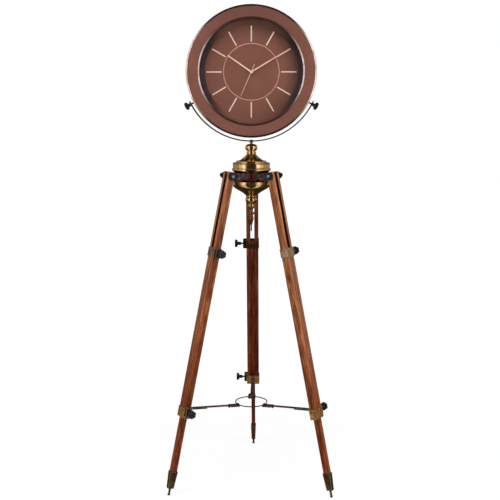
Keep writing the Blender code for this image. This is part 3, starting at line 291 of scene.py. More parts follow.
def lathe(points, steps=ROUND, closed=False, count=4):
    """A turned piece about Z from (radius, height, fillet) points."""
    shape = bmesh.new()
    rings = []
    for radius, height in filleted(points, closed, count):
        if radius * MM < 1e-7:
            rings.append([shape.verts.new((0.0, 0.0, height * MM))])
            continue
        angles = [2 * math.pi * index / steps for index in range(steps)]
        places = [(radius * MM * math.cos(a), radius * MM * math.sin(a), height * MM) for a in angles]
        rings.append([shape.verts.new(place) for place in places])
    pairs = list(zip(rings, rings[1:])) + ([(rings[-1], rings[0])] if closed else [])
    for one, two in pairs:
        for index in range(steps):
            after = (index + 1) % steps
            corners = [one[index % len(one)], one[after % len(one)]]
            corners += [two[after % len(two)], two[index % len(two)]]
            corners = list(dict.fromkeys(corners))
            if len(corners) > 2:
                shape.faces.new(corners)
    bmesh.ops.remove_doubles(shape, verts=shape.verts, dist=1e-7)
    return from_bmesh(shape)


def rod(radius, length, steps=SMALL, edge=0.0):
    """A cylinder along Z, centred, with rounded ends."""
    half = length / 2
    return lathe([(0, half), (radius, half, edge), (radius, -half, edge), (0, -half)], steps, count=3)


def prism(outline, thickness, edge=0.0, segments=3):
    """A flat outline in XY with its thickness along Z."""
    shape = bmesh.new()
    face = shape.faces.new([shape.verts.new((x * MM, y * MM, -thickness * MM / 2)) for x, y in outline])
    extruded = bmesh.ops.extrude_face_region(shape, geom=[face])
    verts = [item for item in extruded["geom"] if isinstance(item, bmesh.types.BMVert)]
    bmesh.ops.translate(shape, vec=(0.0, 0.0, thickness * MM), verts=verts)
    obj = from_bmesh(shape)
    return bevelled(obj, edge, segments) if edge else obj


def lobed(radius, lobe, lobes, per_lobe):
    total = lobes * per_lobe
    angles = [2 * math.pi * index / total for index in range(total)]
    radii = [radius + lobe * math.cos(lobes * angle) for angle in angles]
    return [(r * math.cos(a), r * math.sin(a)) for r, a in zip(radii, angles)]


def welded(obj):
    """Without the faces of no width that a cut or a bevel leaves."""
    width = 0.001 * MM
    shape = bmesh.new()
    shape.from_mesh(obj.data)
    bmesh.ops.remove_doubles(shape, verts=shape.verts, dist=width)
    bmesh.ops.dissolve_degenerate(shape, edges=shape.edges, dist=width)
    shape.to_mesh(obj.data)
    shape.free()


def piece(obj, name, body, material, matrix, slot, *nodes, smooth_deg=EDGE_DEG):
    """Names, shades, places and rides a finished piece, in place of its CAD nodes."""
    welded(obj)
    obj.name = name
    obj.data.name = name
    obj.data.materials.clear()
    obj.data.materials.append(MATERIALS[material])
    obj.data.shade_smooth()
    obj.data.set_sharp_from_angle(angle=math.radians(smooth_deg))
    obj.matrix_world = matrix
    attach(obj, body)
    if nodes:
        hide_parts(*nodes)


# Node helpers


def fill(tree, socket, value):
    """Links a socket to another one, or sets its value."""
    if isinstance(value, bpy.types.NodeSocket):
        tree.links.new(value, socket)
    else:
        socket.default_value = value


def node(tree, kind, settings=None, *values, **inputs):
    """A node with its settings. Values fill its first sockets and inputs its named ones."""
    made = tree.nodes.new(kind)
    for key, value in (settings or {}).items():
        setattr(made, key, value)
    for socket, value in zip(made.inputs, values):
        fill(tree, socket, value)
    for key, value in inputs.items():
        fill(tree, made.inputs[key.replace("_", " ")], value)
    return made


def maths(tree, operation, *values):
    return node(tree, "ShaderNodeMath", {"operation": operation}, *values).outputs[0]


def vectors(tree, operation, *values, output="Vector"):
    return node(tree, "ShaderNodeVectorMath", {"operation": operation}, *values).outputs[output]


def coordinates(tree, kind="Object"):
    return node(tree, "ShaderNodeTexCoord").outputs[kind]


def along(tree, axis, kind="Object"):
    """The object's coordinate along X, Y or Z (0, 1 or 2), in metres, or that part of its normal."""
    return node(tree, "ShaderNodeSeparateXYZ", None, coordinates(tree, kind)).outputs[axis]


def from_axis(tree):
    """The distance from the object's Z axis, in metres."""
    flat = vectors(tree, "MULTIPLY", coordinates(tree), (1.0, 1.0, 0.0))
    return vectors(tree, "LENGTH", flat, output="Value")


def noise(tree, scale, detail=3.0, roughness=0.55, distortion=0.0, offset=0.0, stretch=(1.0, 1.0, 1.0)):
    """Noise in the object's coordinates, pulled long by stretch and moved by offset."""
    place = (offset, offset * 0.7, offset * 0.3)
    shrink = tuple(1.0 / s for s in stretch)
    vector = node(tree, "ShaderNodeMapping", None, coordinates(tree), Location=place, Scale=shrink).outputs[0]
    grain = {"Scale": scale, "Detail": detail, "Roughness": roughness, "Distortion": distortion}
    return node(tree, "ShaderNodeTexNoise", Vector=vector, **grain).outputs["Fac"]


def ramp(tree, fac, *stops):
    made = node(tree, "ShaderNodeValToRGB", Fac=fac)
    elements = made.color_ramp.elements
    while len(elements) < len(stops):
        elements.new(0.5)
    for element, (position, colour) in zip(elements, stops):
        element.position = position
        element.color = (*colour, 1.0)
    return made.outputs["Color"]


def spread(tree, fac, low, high, start=0.0, end=1.0):
    """A value that goes from low to high while fac goes from start to end."""
    made = node(tree, "ShaderNodeMapRange", Value=fac)
    for key, value in (("From Min", start), ("From Max", end), ("To Min", low), ("To Max", high)):
        made.inputs[key].default_value = value
    return made.outputs["Result"]


def between(tree, length, start, end, low=0.0, high=1.0):
    """A value that goes from low to high between two places in millimetres."""
    return spread(tree, length, low, high, start * MM, end * MM)


def mixed(tree, fac, one, two, blend="MIX"):
    made = node(tree, "ShaderNodeMix", {"data_type": "RGBA", "blend_type": blend})
    for index, value in ((0, fac), (6, one), (7, two)):
        fill(tree, made.inputs[index], (*value, 1.0) if isinstance(value, tuple) else value)
    return made.outputs[2]


def edge_mask(tree, start=0.97, end=0.75):
    """1 on the rounded edges of box-like pieces, where the normal leaves the object's axes."""
    absolute = vectors(tree, "ABSOLUTE", coordinates(tree, "Normal"))
    parts = node(tree, "ShaderNodeSeparateXYZ", None, absolute).outputs
    largest = maths(tree, "MAXIMUM", maths(tree, "MAXIMUM", parts[0], parts[1]), parts[2])
    return spread(tree, largest, 0.0, 1.0, start, end)


def side_mask(tree, start, end):
    """0 where the object's |X| is at start, 1 where it is at end."""
    return between(tree, maths(tree, "ABSOLUTE", along(tree, 0)), start, end)


def blank(name, colour, roughness, metallic=0.0, **fixed):
    material = bpy.data.materials.new(name)
    material.use_nodes = True
    inputs = material.node_tree.nodes["Principled BSDF"].inputs
    inputs["Base Color"].default_value = (*colour, 1.0)
    inputs["Roughness"].default_value = roughness
    inputs["Metallic"].default_value = metallic
    for key, value in fixed.items():
        inputs[key.replace("_", " ")].default_value = value
    return material, material.node_tree


def dressed(material, colour, roughness, height=None, strength=0.0, distance=0.0, metallic=None):
    """The material with its colour, roughness, bump and metallic value linked. Distance is in millimetres."""
    tree = material.node_tree
    links = {"Base Color": colour, "Roughness": roughness, "Metallic": metallic}
    if height:
        bump = node(tree, "ShaderNodeBump", Height=height, Strength=strength, Distance=distance * MM)
        links["Normal"] = bump.outputs["Normal"]
    for key, value in links.items():
        if value:
            tree.links.new(value, tree.nodes["Principled BSDF"].inputs[key])
    return material


def times(colour, factor):
    return tuple(factor * channel for channel in colour)


# Materials


def wood(name, offset, shade_from, shade_to, shade_at_feet, tone_and_shade, tan, grey=0.0):
    """Red-brown stained hardwood with its grain along Z, under satin lacquer, with painted light on its
    outward faces and painted shade beside the slot and towards the feet.
    """
    material, tree = blank(
        name, (0.2, 0.06, 0.02), 0.4, Specular_IOR_Level=0.1, Coat_Weight=0.04, Coat_Roughness=0.25
    )
    streaks = noise(tree, 125.0, 4.0, 0.6, 1.0, offset, (1, 1, 11))
    fine = noise(tree, 900.0, 3.0, 0.6, 0.0, offset + 3, (1, 1, 50))
    broad = noise(tree, 30.0, 2.0, 0.5, 0.6, offset + 7, (1, 1, 5))
    hue = noise(tree, 60.0, 2.0, 0.5, 0.8, offset + 11, (1, 1, 7))
    blend = maths(tree, "MULTIPLY_ADD", fine, 0.3, spread(tree, streaks, 0.0, 0.62, 0.3, 0.7))
    blend = maths(tree, "ADD", spread(tree, broad, -0.10, 0.10, 0.35, 0.65), blend)
    shades = (
        (0.14, (0.072, 0.0135, 0.0045)), (0.34, (0.170, 0.037, 0.0125)), (0.52, (0.262, 0.068, 0.025)),
        (0.72, (0.450, 0.150, 0.058)),
    )
    # Tone and shade makes the wood lighter or darker; on the back leg it darkens it as painted shade.
    stops = [(at, (r * tone_and_shade, g * tone_and_shade**1.7, b * tone_and_shade**1.9)) for at, (r, g, b) in shades]
    red = ramp(tree, blend, *stops)
    golden = ramp(tree, blend, *[(at, (r * 0.86, g * 1.35, b * 1.1)) for at, (r, g, b) in stops])
    turn = spread(tree, hue, max(0.0, tan - 0.45), min(1.0, tan + 0.45), 0.35, 0.65)
    colour = mixed(tree, turn, red, golden)
    worn = maths(tree, "MULTIPLY", edge_mask(tree, 0.985, 0.8), 0.35)
    colour = mixed(tree, worn, colour, times((0.2, 0.06, 0.035), tone_and_shade))
    # Painted light: the faces that look outwards are made lighter.
    outer_faces_lit = mixed(tree, 1.0, colour, (0.17, 0.075, 0.045), "ADD")
    colour = mixed(tree, spread(tree, along(tree, 1, "Normal"), 0.0, tone_and_shade * 0.72, 0.5, 0.95), colour, outer_faces_lit)
    if grey:
        colour = mixed(tree, grey, colour, (0.20, 0.125, 0.085))
    height = along(tree, 2)
    # Painted shade: the wood darkens towards the foot.
    foot_shade, tint_from, tint_to = shade_at_feet
    low = between(tree, height, tint_from, tint_to)
    colour = mixed(tree, low, colour, mixed(tree, 1.0, colour, foot_shade, "MULTIPLY"))
    # Painted shade on the faces beside and in the slot, above the lower collar.
    above = between(tree, height, -LOWER_COLLAR_AT, -LOWER_COLLAR_AT + 10.0)
    shade = maths(tree, "MULTIPLY", above, side_mask(tree, shade_from, shade_to))
    colour = mixed(tree, shade, colour, (0.042, 0.011, 0.004))
    return dressed(material, colour, spread(tree, fine, 0.34, 0.52, 0.3, 0.7), fine, 0.25, 0.15)


def polished(name, light, dark, rough=(0.10, 0.24), lines=0.12, offset=0.0, ends=None, foot=None, shaded_sides=None):
    """Polished metal with turning marks round Z and a little tarnish.

    Ends is (colour, from, to): a painted dark reflection, the colour that a rim darkens to at its top and
    bottom, by |Y|. Foot is (shade, from, to): a painted shade below the height from, which is gone at the
    height to. Shaded sides is the painted shade of the faces along Z, weaker to the left.
    """
    material, tree = blank(name, light, rough[0], 1.0)
    tarnish = noise(tree, 46.0, 4.0, 0.6, 0.3, offset)
    specks = noise(tree, 420.0, 2.0, 0.5, 0.0, offset + 5)
    colour = ramp(tree, tarnish, (0.34, dark), (0.58, light))
    metallic = None
    # Painted dark reflection: a rim darkens, and is less metallic, at its top and bottom.
    if ends:
        height = maths(tree, "ABSOLUTE", along(tree, 1))
        colour = mixed(tree, between(tree, height, *ends[1:]), colour, ends[0])
        metallic = between(tree, height, *ends[1:], 1.0, 0.3)
    # Painted shade below a height.
    if foot:
        shaded_below = mixed(tree, 1.0, colour, foot[0], "MULTIPLY")
        colour = mixed(tree, between(tree, along(tree, 2), *foot[1:], 1.0, 0.0), colour, shaded_below)
    # Painted shade on the faces along Z, weaker to the left.
    if shaded_sides:
        side = spread(tree, maths(tree, "ABSOLUTE", along(tree, 2, "Normal")), 0.0, 1.0, 0.3, 0.7)
        share = between(tree, along(tree, 0), -190.0, -110.0, 0.25, 1.0)
        colour = mixed(tree, maths(tree, "MULTIPLY", side, share), colour, shaded_sides)
    marks = noise(tree, 2600.0, 2.0, 0.6, 0.0, offset, (1000, 1000, 1))
    height = maths(tree, "MULTIPLY_ADD", specks, 0.25, marks)
    roughness = spread(tree, tarnish, rough[1], rough[0], 0.35, 0.62)
    return dressed(material, colour, roughness, height, lines, 0.04, metallic)


def cast(
    name, base, dark, worn, metallic=0.5, rough=(0.3, 0.5), grain=0.35, lug=None, marked=False, specular=0.5
):
    """A casting: fine sandy skin, darker patches and edges rubbed lighter.

    Lug is the colour of what stands out of a collar to -X. A marked piece has its edges in a face
    attribute, since it doesn't lie along its object's axes.
    """
    material, tree = blank(name, base, rough[0], metallic, Specular_IOR_Level=specular)
    patches = noise(tree, 70.0, 4.0, 0.62, 0.5)
    sand = noise(tree, 900.0, 3.0, 0.6, 0.0, 2.0)
    colour = ramp(tree, patches, (0.38, dark), (0.60, base))
    if marked:
        edges = node(tree, "ShaderNodeAttribute", {"attribute_name": "edge"}).outputs["Fac"]
    else:
        edges = edge_mask(tree)
    colour = mixed(tree, edges, colour, worn)
    if lug:
        out = between(tree, along(tree, 0), -COLLAR_HALF_WIDE - 1.2, -COLLAR_HALF_WIDE - 0.6, 1.0, 0.0)
        lug = mixed(tree, maths(tree, "MULTIPLY", edges, 0.45), lug, worn)
        colour = mixed(tree, out, colour, lug)
    return dressed(material, colour, spread(tree, patches, rough[1], rough[0], 0.35, 0.65), sand, grain, 0.12)


def bolt_metal(name):
    """Dark steel, darker round the rim of a head, with a painted greenish-grey highlight in its middle."""
    material, tree = blank(name, (0.1, 0.12, 0.11), 0.3, 0.85)
    patches = noise(tree, 160.0, 3.0, 0.6, 0.4)
    # Painted highlight: the lighter greenish grey in the middle of a head.
    middle = ramp(tree, patches, (0.4, (0.12, 0.15, 0.14)), (0.6, (0.34, 0.40, 0.37)))
    rim = ramp(tree, patches, (0.4, (0.010, 0.009, 0.014)), (0.62, (0.045, 0.04, 0.055)))
    colour = mixed(tree, between(tree, from_axis(tree), 4.2, 6.0), middle, rim)
    return dressed(material, colour, spread(tree, patches, 0.4, 0.24, 0.35, 0.65), patches, 0.2, 0.1)


def strut_metal(name):
    """Browned steel, greyer and rubbed where the strut is doubled and reddish on its strip and plate."""
    material, tree = blank(name, (0.1, 0.06, 0.06), 0.4, 0.3, Specular_IOR_Level=0.2)
    patches = noise(tree, 90.0, 3.0, 0.6, 0.5)
    grey = ramp(tree, patches, (0.4, (0.030, 0.024, 0.020)), (0.6, (0.11, 0.10, 0.085)))
    brown = ramp(tree, patches, (0.4, (0.05, 0.022, 0.022)), (0.6, (0.12, 0.058, 0.060)))
    colour = mixed(tree, between(tree, along(tree, 1), -60.0, -55.0), brown, grey)
    colour = mixed(tree, edge_mask(tree), colour, (0.13, 0.095, 0.085))
    return dressed(material, colour, spread(tree, patches, 0.5, 0.32, 0.35, 0.65), patches, 0.2, 0.1)


def hinge_metal(name):
    """The hinge casting: a painted reflection of the red-brown wood at its hub, mottled purple-grey and black
    on its cheeks.
    """
    material, tree = blank(name, (0.03, 0.02, 0.02), 0.3, 0.6)
    radius = from_axis(tree)
    patches = noise(tree, 95.0, 3.0, 0.6, 0.8)
    sand = noise(tree, 900.0, 3.0, 0.6, 0.0, 2.0)
    # Painted reflection: the hub's dark red stands in for the red-brown wood that it reflects.
    hub = ramp(tree, patches, (0.38, (0.07, 0.014, 0.009)), (0.62, (0.17, 0.038, 0.024)))
    black, grey, light = (0.014, 0.007, 0.008), (0.045, 0.028, 0.032), (0.12, 0.085, 0.10)
    arms = ramp(tree, patches, (0.40, black), (0.52, grey), (0.66, light))
    ends = ramp(tree, patches, (0.45, (0.006, 0.006, 0.007)), (0.66, (0.03, 0.032, 0.032)))
    colour = mixed(tree, between(tree, radius, 33.0, 45.0), hub, arms)
    colour = mixed(tree, between(tree, radius, 64.0, 72.0), colour, ends)
    return dressed(material, colour, spread(tree, patches, 0.42, 0.24, 0.35, 0.65), sand, 0.35, 0.12)


def moulded(name, base, rough):
    """Black moulded plastic, a little greyer on its edges."""
    material, tree = blank(name, base, rough, Specular_IOR_Level=0.22)
    grain = noise(tree, 650.0)
    wide = noise(tree, 60.0, 2.0, offset=4.0)
    lighter = tuple(min(1.0, channel * 2.2 + 0.006) for channel in base)
    colour = mixed(tree, spread(tree, wide, 0.0, 0.4, 0.4, 0.7), base, lighter)
    colour = mixed(tree, spread(tree, edge_mask(tree, 0.97, 0.7), 0.0, 0.3), colour, (0.08, 0.09, 0.10))
    roughness = spread(tree, wide, rough - 0.08, rough + 0.12, 0.35, 0.65)
    return dressed(material, colour, roughness, grain, 0.2, 0.05)


def rim_shaded(tree, colour):
    """The colour in the shade of the dial's rim, which grows outwards, mostly to the top and the right."""
    toward = vectors(tree, "DOT_PRODUCT", coordinates(tree), (1.6, 1.0, 0.0), output="Value")
    share = spread(tree, toward, 0.05, 0.62, -0.25, 0.25)
    near = between(tree, from_axis(tree), *RIM_SHADE)
    return mixed(tree, maths(tree, "MULTIPLY", share, near), colour, (0.03, 0.012, 0.012))


def copper_paint(name, base, deep, rough, metallic=0.0, top=1.0, tip=None, rim=False):
    """Satin copper-brown metallic paint, a little cloudy.

    Tip is the colour of the end of a hand, and top is how light a painted shade leaves the paint at the
    clock's top. Rim is true where the dial's rim shades it.
    """
    material, tree = blank(name, base, rough, metallic)
    cloud = noise(tree, 16.0, 4.0, 0.6, 0.6, 2.0)
    flake = noise(tree, 2400.0, 1.0, 0.5, 0.0, 6.0)
    colour = ramp(tree, cloud, (0.35, deep), (0.65, base))
    colour = mixed(tree, maths(tree, "MULTIPLY", flake, 0.12), colour, (0.5, 0.25, 0.17))
    if tip:
        colour = mixed(tree, between(tree, along(tree, 1), 62.0, 84.0), colour, tip)
    # Painted shade: the paint darkens towards the clock's top.
    if top < 1.0:
        darker = between(tree, along(tree, 1), 90.0, 200.0, 0.0, 1.0 - top)
        colour = mixed(tree, darker, colour, (0.0, 0.0, 0.0))
    if rim:
        colour = rim_shaded(tree, colour)
    roughness = spread(tree, flake, rough - 0.06, rough + 0.08, 0.3, 0.7)
    return dressed(material, colour, roughness, flake, 0.08, 0.03)


def cone_paint(name, inner, outer, deep, base):
    """The dial's cone in painted shade: the dial's paint at its foot, darkening towards the rim, and most
    to the left and the right.
    """
    material, tree = blank(name, deep, 0.36, 0.4)
    cloud = noise(tree, 24.0, offset=1.0)
    # Painted shade: the deep colour and the darker rim and sides stand in for the shade in the dial's recess.
    shade = maths(tree, "MULTIPLY_ADD", cloud, 0.15, between(tree, from_axis(tree), inner, outer))
    middle = ramp(tree, shade, (0.1, base), (1.0, times(base, 0.8)))
    shaded_sides = ramp(tree, shade, (0.05, base), (0.3, deep), (1.0, times(deep, 0.6)))
    colour = rim_shaded(tree, mixed(tree, side_mask(tree, 0.55 * inner, 0.9 * inner), middle, shaded_sides))
    return dressed(material, colour, spread(tree, cloud, 0.32, 0.46, 0.35, 0.65))


def clear_glass(name):
    material, tree = blank(name, (0.03, 0.03, 0.03), 0.03, Alpha=0.06)
    return dressed(material, None, spread(tree, noise(tree, 30.0), 0.02, 0.06, 0.4, 0.7))


BRASS = ((0.80, 0.58, 0.28), (0.58, 0.38, 0.15))
MATERIALS = {
    "brass": polished("polished_brass", *BRASS),
    # The drum and the pendant take a painted shade at their foot.
    "drum_brass": polished("drum_brass", *BRASS, offset=1.0, foot=((0.36, 0.24, 0.17), 14.5, 18.0)),
    "pendant_brass": polished("pendant_brass", *BRASS, offset=2.0, foot=((0.52, 0.36, 0.26), -108.0, -90.0)),
    # The rim and the bezel take painted dark reflections at their top and bottom.
    "rim": polished(
        "rim_brass", (0.72, 0.58, 0.42), (0.5, 0.38, 0.24), (0.14, 0.28), 0.05, 3.0,
        ends=((0.03, 0.018, 0.014), 90.0, 150.0),
    ),
    "bezel": polished(
        "bezel_brass", (0.50, 0.39, 0.32), (0.38, 0.28, 0.21), (0.16, 0.3), 0.05, 6.0,
        ends=((0.055, 0.030, 0.018), 45.0, 115.0),
    ),
    # The strap's faces along Z take a painted shade.
    "strap": polished(
        "strap_brass", (0.74, 0.56, 0.30), (0.52, 0.36, 0.17), (0.12, 0.24), 0.05, 4.0,
        shaded_sides=(0.05, 0.03, 0.02),
    ),
    "gold_line": copper_paint("pink_gold_line", (1.0, 0.78, 0.66), (1.0, 0.70, 0.57), 0.4),
    "hand_gold": copper_paint("pink_gold_hands", (1.0, 0.76, 0.63), (1.0, 0.68, 0.54), 0.36),
    "minute_gold": copper_paint(
        "golden_minute_hand", (1.0, 0.68, 0.55), (0.95, 0.60, 0.47), 0.36, tip=(0.80, 0.50, 0.24)
    ),
    # The ring takes a painted shade towards its top.
    "ring": copper_paint("copper_ring", (0.235, 0.083, 0.062), (0.19, 0.072, 0.048), 0.42, 0.25, top=0.8),
    "dial": copper_paint("copper_dial", (0.25, 0.085, 0.054), (0.21, 0.073, 0.044), 0.5, 0.1, rim=True),
    "circle": copper_paint("printed_circle", (0.80, 0.44, 0.36), (0.72, 0.38, 0.30), 0.45),
    "cone": cone_paint("dial_cone", DIAL_FLAT, CONE_RIM, (0.042, 0.023, 0.019), (0.31, 0.118, 0.080)),
    "bronze": cast(
        "dark_bronze", (0.22, 0.135, 0.085), (0.085, 0.050, 0.038), (0.42, 0.30, 0.19),
        lug=(0.010, 0.011, 0.010),
    ),
    "bronze_light": cast(
        "light_bronze", (0.36, 0.23, 0.13), (0.20, 0.125, 0.07), (0.52, 0.38, 0.25), 0.4,
        lug=(0.16, 0.12, 0.085),
    ),
    "bronze_dark": cast(
        "shaded_bronze", (0.034, 0.021, 0.008), (0.022, 0.014, 0.005), (0.10, 0.055, 0.03), 0.2,
        lug=(0.008, 0.008, 0.007), specular=0.12,
    ),
    "cast_brass": cast(
        "cast_brass", (0.47, 0.235, 0.070), (0.16, 0.075, 0.022), (0.58, 0.38, 0.17), lug=(0.03, 0.018, 0.010)
    ),
    "ferrule": cast(
        "ferrule_brass", (0.085, 0.047, 0.015), (0.026, 0.016, 0.007), (0.20, 0.13, 0.06),
        marked=True, specular=0.2,
    ),
    "ferrule_back": cast(
        "shaded_ferrule", (0.10, 0.050, 0.022), (0.05, 0.026, 0.014), (0.16, 0.08, 0.04), 0.3,
        marked=True, specular=0.2,
    ),
    "spike": cast(
        "black_steel", (0.035, 0.03, 0.028), (0.016, 0.014, 0.013), (0.12, 0.10, 0.085),
        0.7, (0.3, 0.42), 0.12,
    ),
    "steel": cast(
        "dark_steel", (0.12, 0.065, 0.062), (0.055, 0.032, 0.034), (0.30, 0.24, 0.21), 0.7, (0.28, 0.42), 0.12
    ),
    "wire": cast(
        "ring_wire", (0.022, 0.022, 0.023), (0.012, 0.012, 0.012), (0.03, 0.03, 0.032), 0.1, (0.4, 0.55), 0.1,
        specular=0.12,
    ),
    "bolt": cast(
        "bolt_steel", (0.11, 0.12, 0.11), (0.05, 0.055, 0.055), (0.2, 0.22, 0.2), 0.8, (0.25, 0.4), 0.1
    ),
    "cell": cast("cell_sleeve", (0.5, 0.5, 0.5), (0.42, 0.42, 0.42), (0.6, 0.6, 0.6), 0.8, (0.3, 0.4), 0.05),
    "casting": hinge_metal("hinge_casting"),
    "bolt_head": bolt_metal("bolt_head_steel"),
    "strut": strut_metal("browned_strut"),
    "black": moulded("black_knobs", (0.006, 0.006, 0.007), 0.22),
    "lid": moulded("black_lid", (0.022, 0.02, 0.019), 0.42),
    "inside": moulded("black_movement", (0.02, 0.02, 0.02), 0.5),
    "glass": clear_glass("clear_glass"),
}


# Brass head of the tripod


def flare(top_radius, foot_radius, top, foot, points=12):
    """The cap's concave flare, steep at the neck and flat at its foot."""
    wide, high = foot_radius - top_radius, top - foot
    shares = [index / points for index in range(points + 1)]
    return [(top_radius + wide * s, top - high * math.sin(s * math.pi / 2)) for s in shares]


def head_cap():
    return lathe([
        (0, 46.0), (6.3, 46.0), (6.3, 66.0), (14.6, 66.0, 0.5),
        *flare(15.2, 45.0, 65.6, 45.6),
        (46.6, 45.2, 0.5), (48.2, 43.6, 1.2), (48.0, 41.4, 0.8), (46.8, 40.6, 0.4), (48.0, 40.0, 0.5),
        (57.6, 39.6, 0.8), (59.1, 38.9, 0.7), (59.1, 37.3, 0.5), (2.5, 37.3), (2.5, 43.6), (0, 43.6),
    ])


def drum():
    return lathe([
        (2.5, 37.0), (56.6, 37.0, 0.6), (58.4, 36.4, 0.6), (58.6, 35.2, 0.4), (58.0, 34.7, 0.3),
        (58.5, 34.2, 0.3), (58.2, 24.6, 0.3), (57.5, 24.0, 0.3), (58.3, 23.4, 0.3), (58.6, 22.2, 0.5),
        (60.4, 21.6, 0.8), (61.5, 19.6, 1.4), (61.5, 16.0, 1.6), (60.2, 13.8, 0.8), (58.4, 13.2, 0.4),
        (57.6, 12.0, 0.5), (55.6, DRUM_FOOT, 0.6), (2.5, DRUM_FOOT),
    ], closed=True)


def lower_bowl():
    return lathe([
        (2.5, -18.3), (59.4, -18.3, 0.7), (61.2, -19.6, 0.8), (61.3, -22.6, 0.5), (60.6, -23.2, 0.3),
        (60.8, -23.8, 0.3), (60.4, -28.6, 3.0), (59.0, -33.6, 4.0), (56.2, -37.8, 4.0), (51.8, -41.4, 4.0),
        (46.8, -44.6, 4.0), (40.6, -48.2, 4.0), (33.6, -52.0, 5.0), (27.4, -56.0, 5.0), (22.6, -59.8, 3.0),
        (19.2, -62.8, 1.2), (18.2, -64.4, 0.6), (17.2, -65.2, 0.4), (17.6, -68.0, 0.6), (2.5, -68.0),
    ], closed=True)


def pendant():
    return lathe([
        (2.5, -68.3), (13.6, -68.3, 0.5), (15.2, -69.8, 1.0), (18.4, -73.0, 2.0), (19.5, -77.6, 3.0),
        (18.6, -82.6, 3.0), (14.0, -87.6, 2.0), (10.4, -90.2, 1.0), (8.8, -91.4, 0.6), (8.8, -92.8, 0.5),
        (10.2, -94.0, 1.0), (11.0, -98.2, 2.4), (10.2, -102.4, 1.6), (7.6, -105.2, 1.0), (5.8, -108.0, 1.2),
        (5.3, -113.0, 2.0), (5.8, -117.0, 1.0), (9.3, -118.4, 0.8), (9.9, -121.6, 1.4), (9.3, -124.6, 0.8),
        (6.4, -125.8, 0.6), (5.6, -127.6, 0.8), (7.4, -131.4, 1.4), (5.8, -134.6, 0.8), (6.0, -135.8, 0.4),
        (8.4, -137.0, 0.7), (8.4, -140.0, 0.9), (6.8, -141.8, 0.8), (5.6, -147.0, 2.0), (4.0, -153.0, 2.0),
        (3.2, -158.3, 0.3), (2.5, -158.3),
    ], 64, closed=True)


def swivel_stem():
    """A flattened ball on a grooved neck, with a thin throat up to the strap."""
    centre, wide, high = 86.6, 19.4, 12.4
    angles = [math.radians(degrees) for degrees in range(76, -61, -6)]
    shape = [(math.cos(a) ** 0.75, math.copysign(abs(math.sin(a)) ** 0.9, a)) for a in angles]
    ball = [(wide * x, centre + high * z) for x, z in shape]
    return lathe([
        (0, 104.0), (3.0, 104.0), (3.0, 100.4, 0.4), (4.2, 99.4, 0.4),
        *ball,
        (12.6, 74.9, 0.3), (13.4, 74.2, 0.3), (15.0, 73.6, 0.4), (15.3, 72.2, 0.5), (15.0, 70.8, 0.3),
        (13.9, 70.2, 0.3), (14.9, 69.4, 0.3), (15.1, 68.2, 0.3), (14.9, 66.8, 0.3), (14.0, 66.3, 0.2),
        (6.0, 66.3), (6.0, 46.3), (0, 46.3),
    ])


def cheek(side):
    """One cheek of a hinge, with a boss round its bore."""
    root = 18.0
    start_deg = 180.0 - math.degrees(math.asin(CHEEK_TOP / CHEEK_END_RADIUS))
    end = arc((HINGE_RADIUS, 0.0), CHEEK_END_RADIUS, start_deg, -90.0, 30)
    plate = prism([(root, CHEEK_TOP), *end, (root, -CHEEK_END_RADIUS)], CHEEK_THICK, 0.9)
    boss = shifted(rod(10.2, 0.5, SMALL, 0.2), x=HINGE_RADIUS, z=side * -2.4)
    return shifted(moved(joined(plate, boss), about("X", 90.0)), y=side * (CHEEK_FACE - CHEEK_THICK / 2))


def leg_plate():
    """A hub with three pairs of cheeks."""
    casting = lathe([
        (2.5, 10.0), (30.6, 10.0, 0.6), (32.0, 9.0, 0.8), (32.0, 6.8, 0.5), (31.2, 6.2, 0.4),
        (31.2, -13.6, 0.4), (32.0, -14.4, 0.5), (32.0, -17.0, 0.8), (30.8, -18.0, 0.6), (2.5, -18.0),
    ], closed=True)
    for azimuth_deg, _ in LEGS.values():
        for side in (-1, 1):
            casting = joined(casting, moved(cheek(side), about("Z", azimuth_deg)))
    return casting


def tie_rod():
    return lathe([(0, 43.3), (2.2, 43.3), (2.2, -178.6, 0.5), (0, -179.3)], SLIM)


def stem_nut():
    points = [(3.1, 105.5), (5.8, 105.5, 0.3), (6.0, 103.4, 0.5), (4.6, 101.4, 0.6), (3.1, 101.2)]
    return lathe(points, SMALL, closed=True)


def build_head():
    for name, shape, material, slot, cad_name in (
        ("turned_head_cap", head_cap(), "brass", "polished_brass", "head_cap"),
        ("turned_drum", drum(), "drum_brass", "polished_brass", "drum"),
        ("turned_lower_bowl", lower_bowl(), "brass", "polished_brass", "lower_bowl"),
        ("turned_pendant", pendant(), "pendant_brass", "polished_brass", "pendant"),
        ("hinge_casting", leg_plate(), "casting", "dark_bronze", "leg_plate"),
        ("turned_tie_rod", tie_rod(), "steel", "dark_steel", "tie_rod"),
    ):
        piece(shape, name, "head", material, HEAD, slot, cad_name)
    piece(swivel_stem(), "turned_swivel_stem", "fork", "brass", HEAD, "polished_brass", "swivel_stem")
    piece(stem_nut(), "stem_nut", "fork", "strap", HEAD, "polished_brass")


# Fork and thumbscrews, in the clock's frame


def radial(side):
    """The frame of a thumbscrew, its origin on the case and +Z outwards."""
    angle = math.radians(-THUMBSCREW_DEG)
    outward = Vector((side * math.cos(angle), math.sin(angle), 0.0))
    return Matrix.Translation(outward * (CASE_RADIUS * MM)) @ from_z(outward)


def strap_section(reach):
    corners = [(FORK_INNER, -reach), (FORK_OUTER, -reach), (FORK_OUTER, reach), (FORK_INNER, reach)]
    return rounded_outline(corners, 0.7, 3)


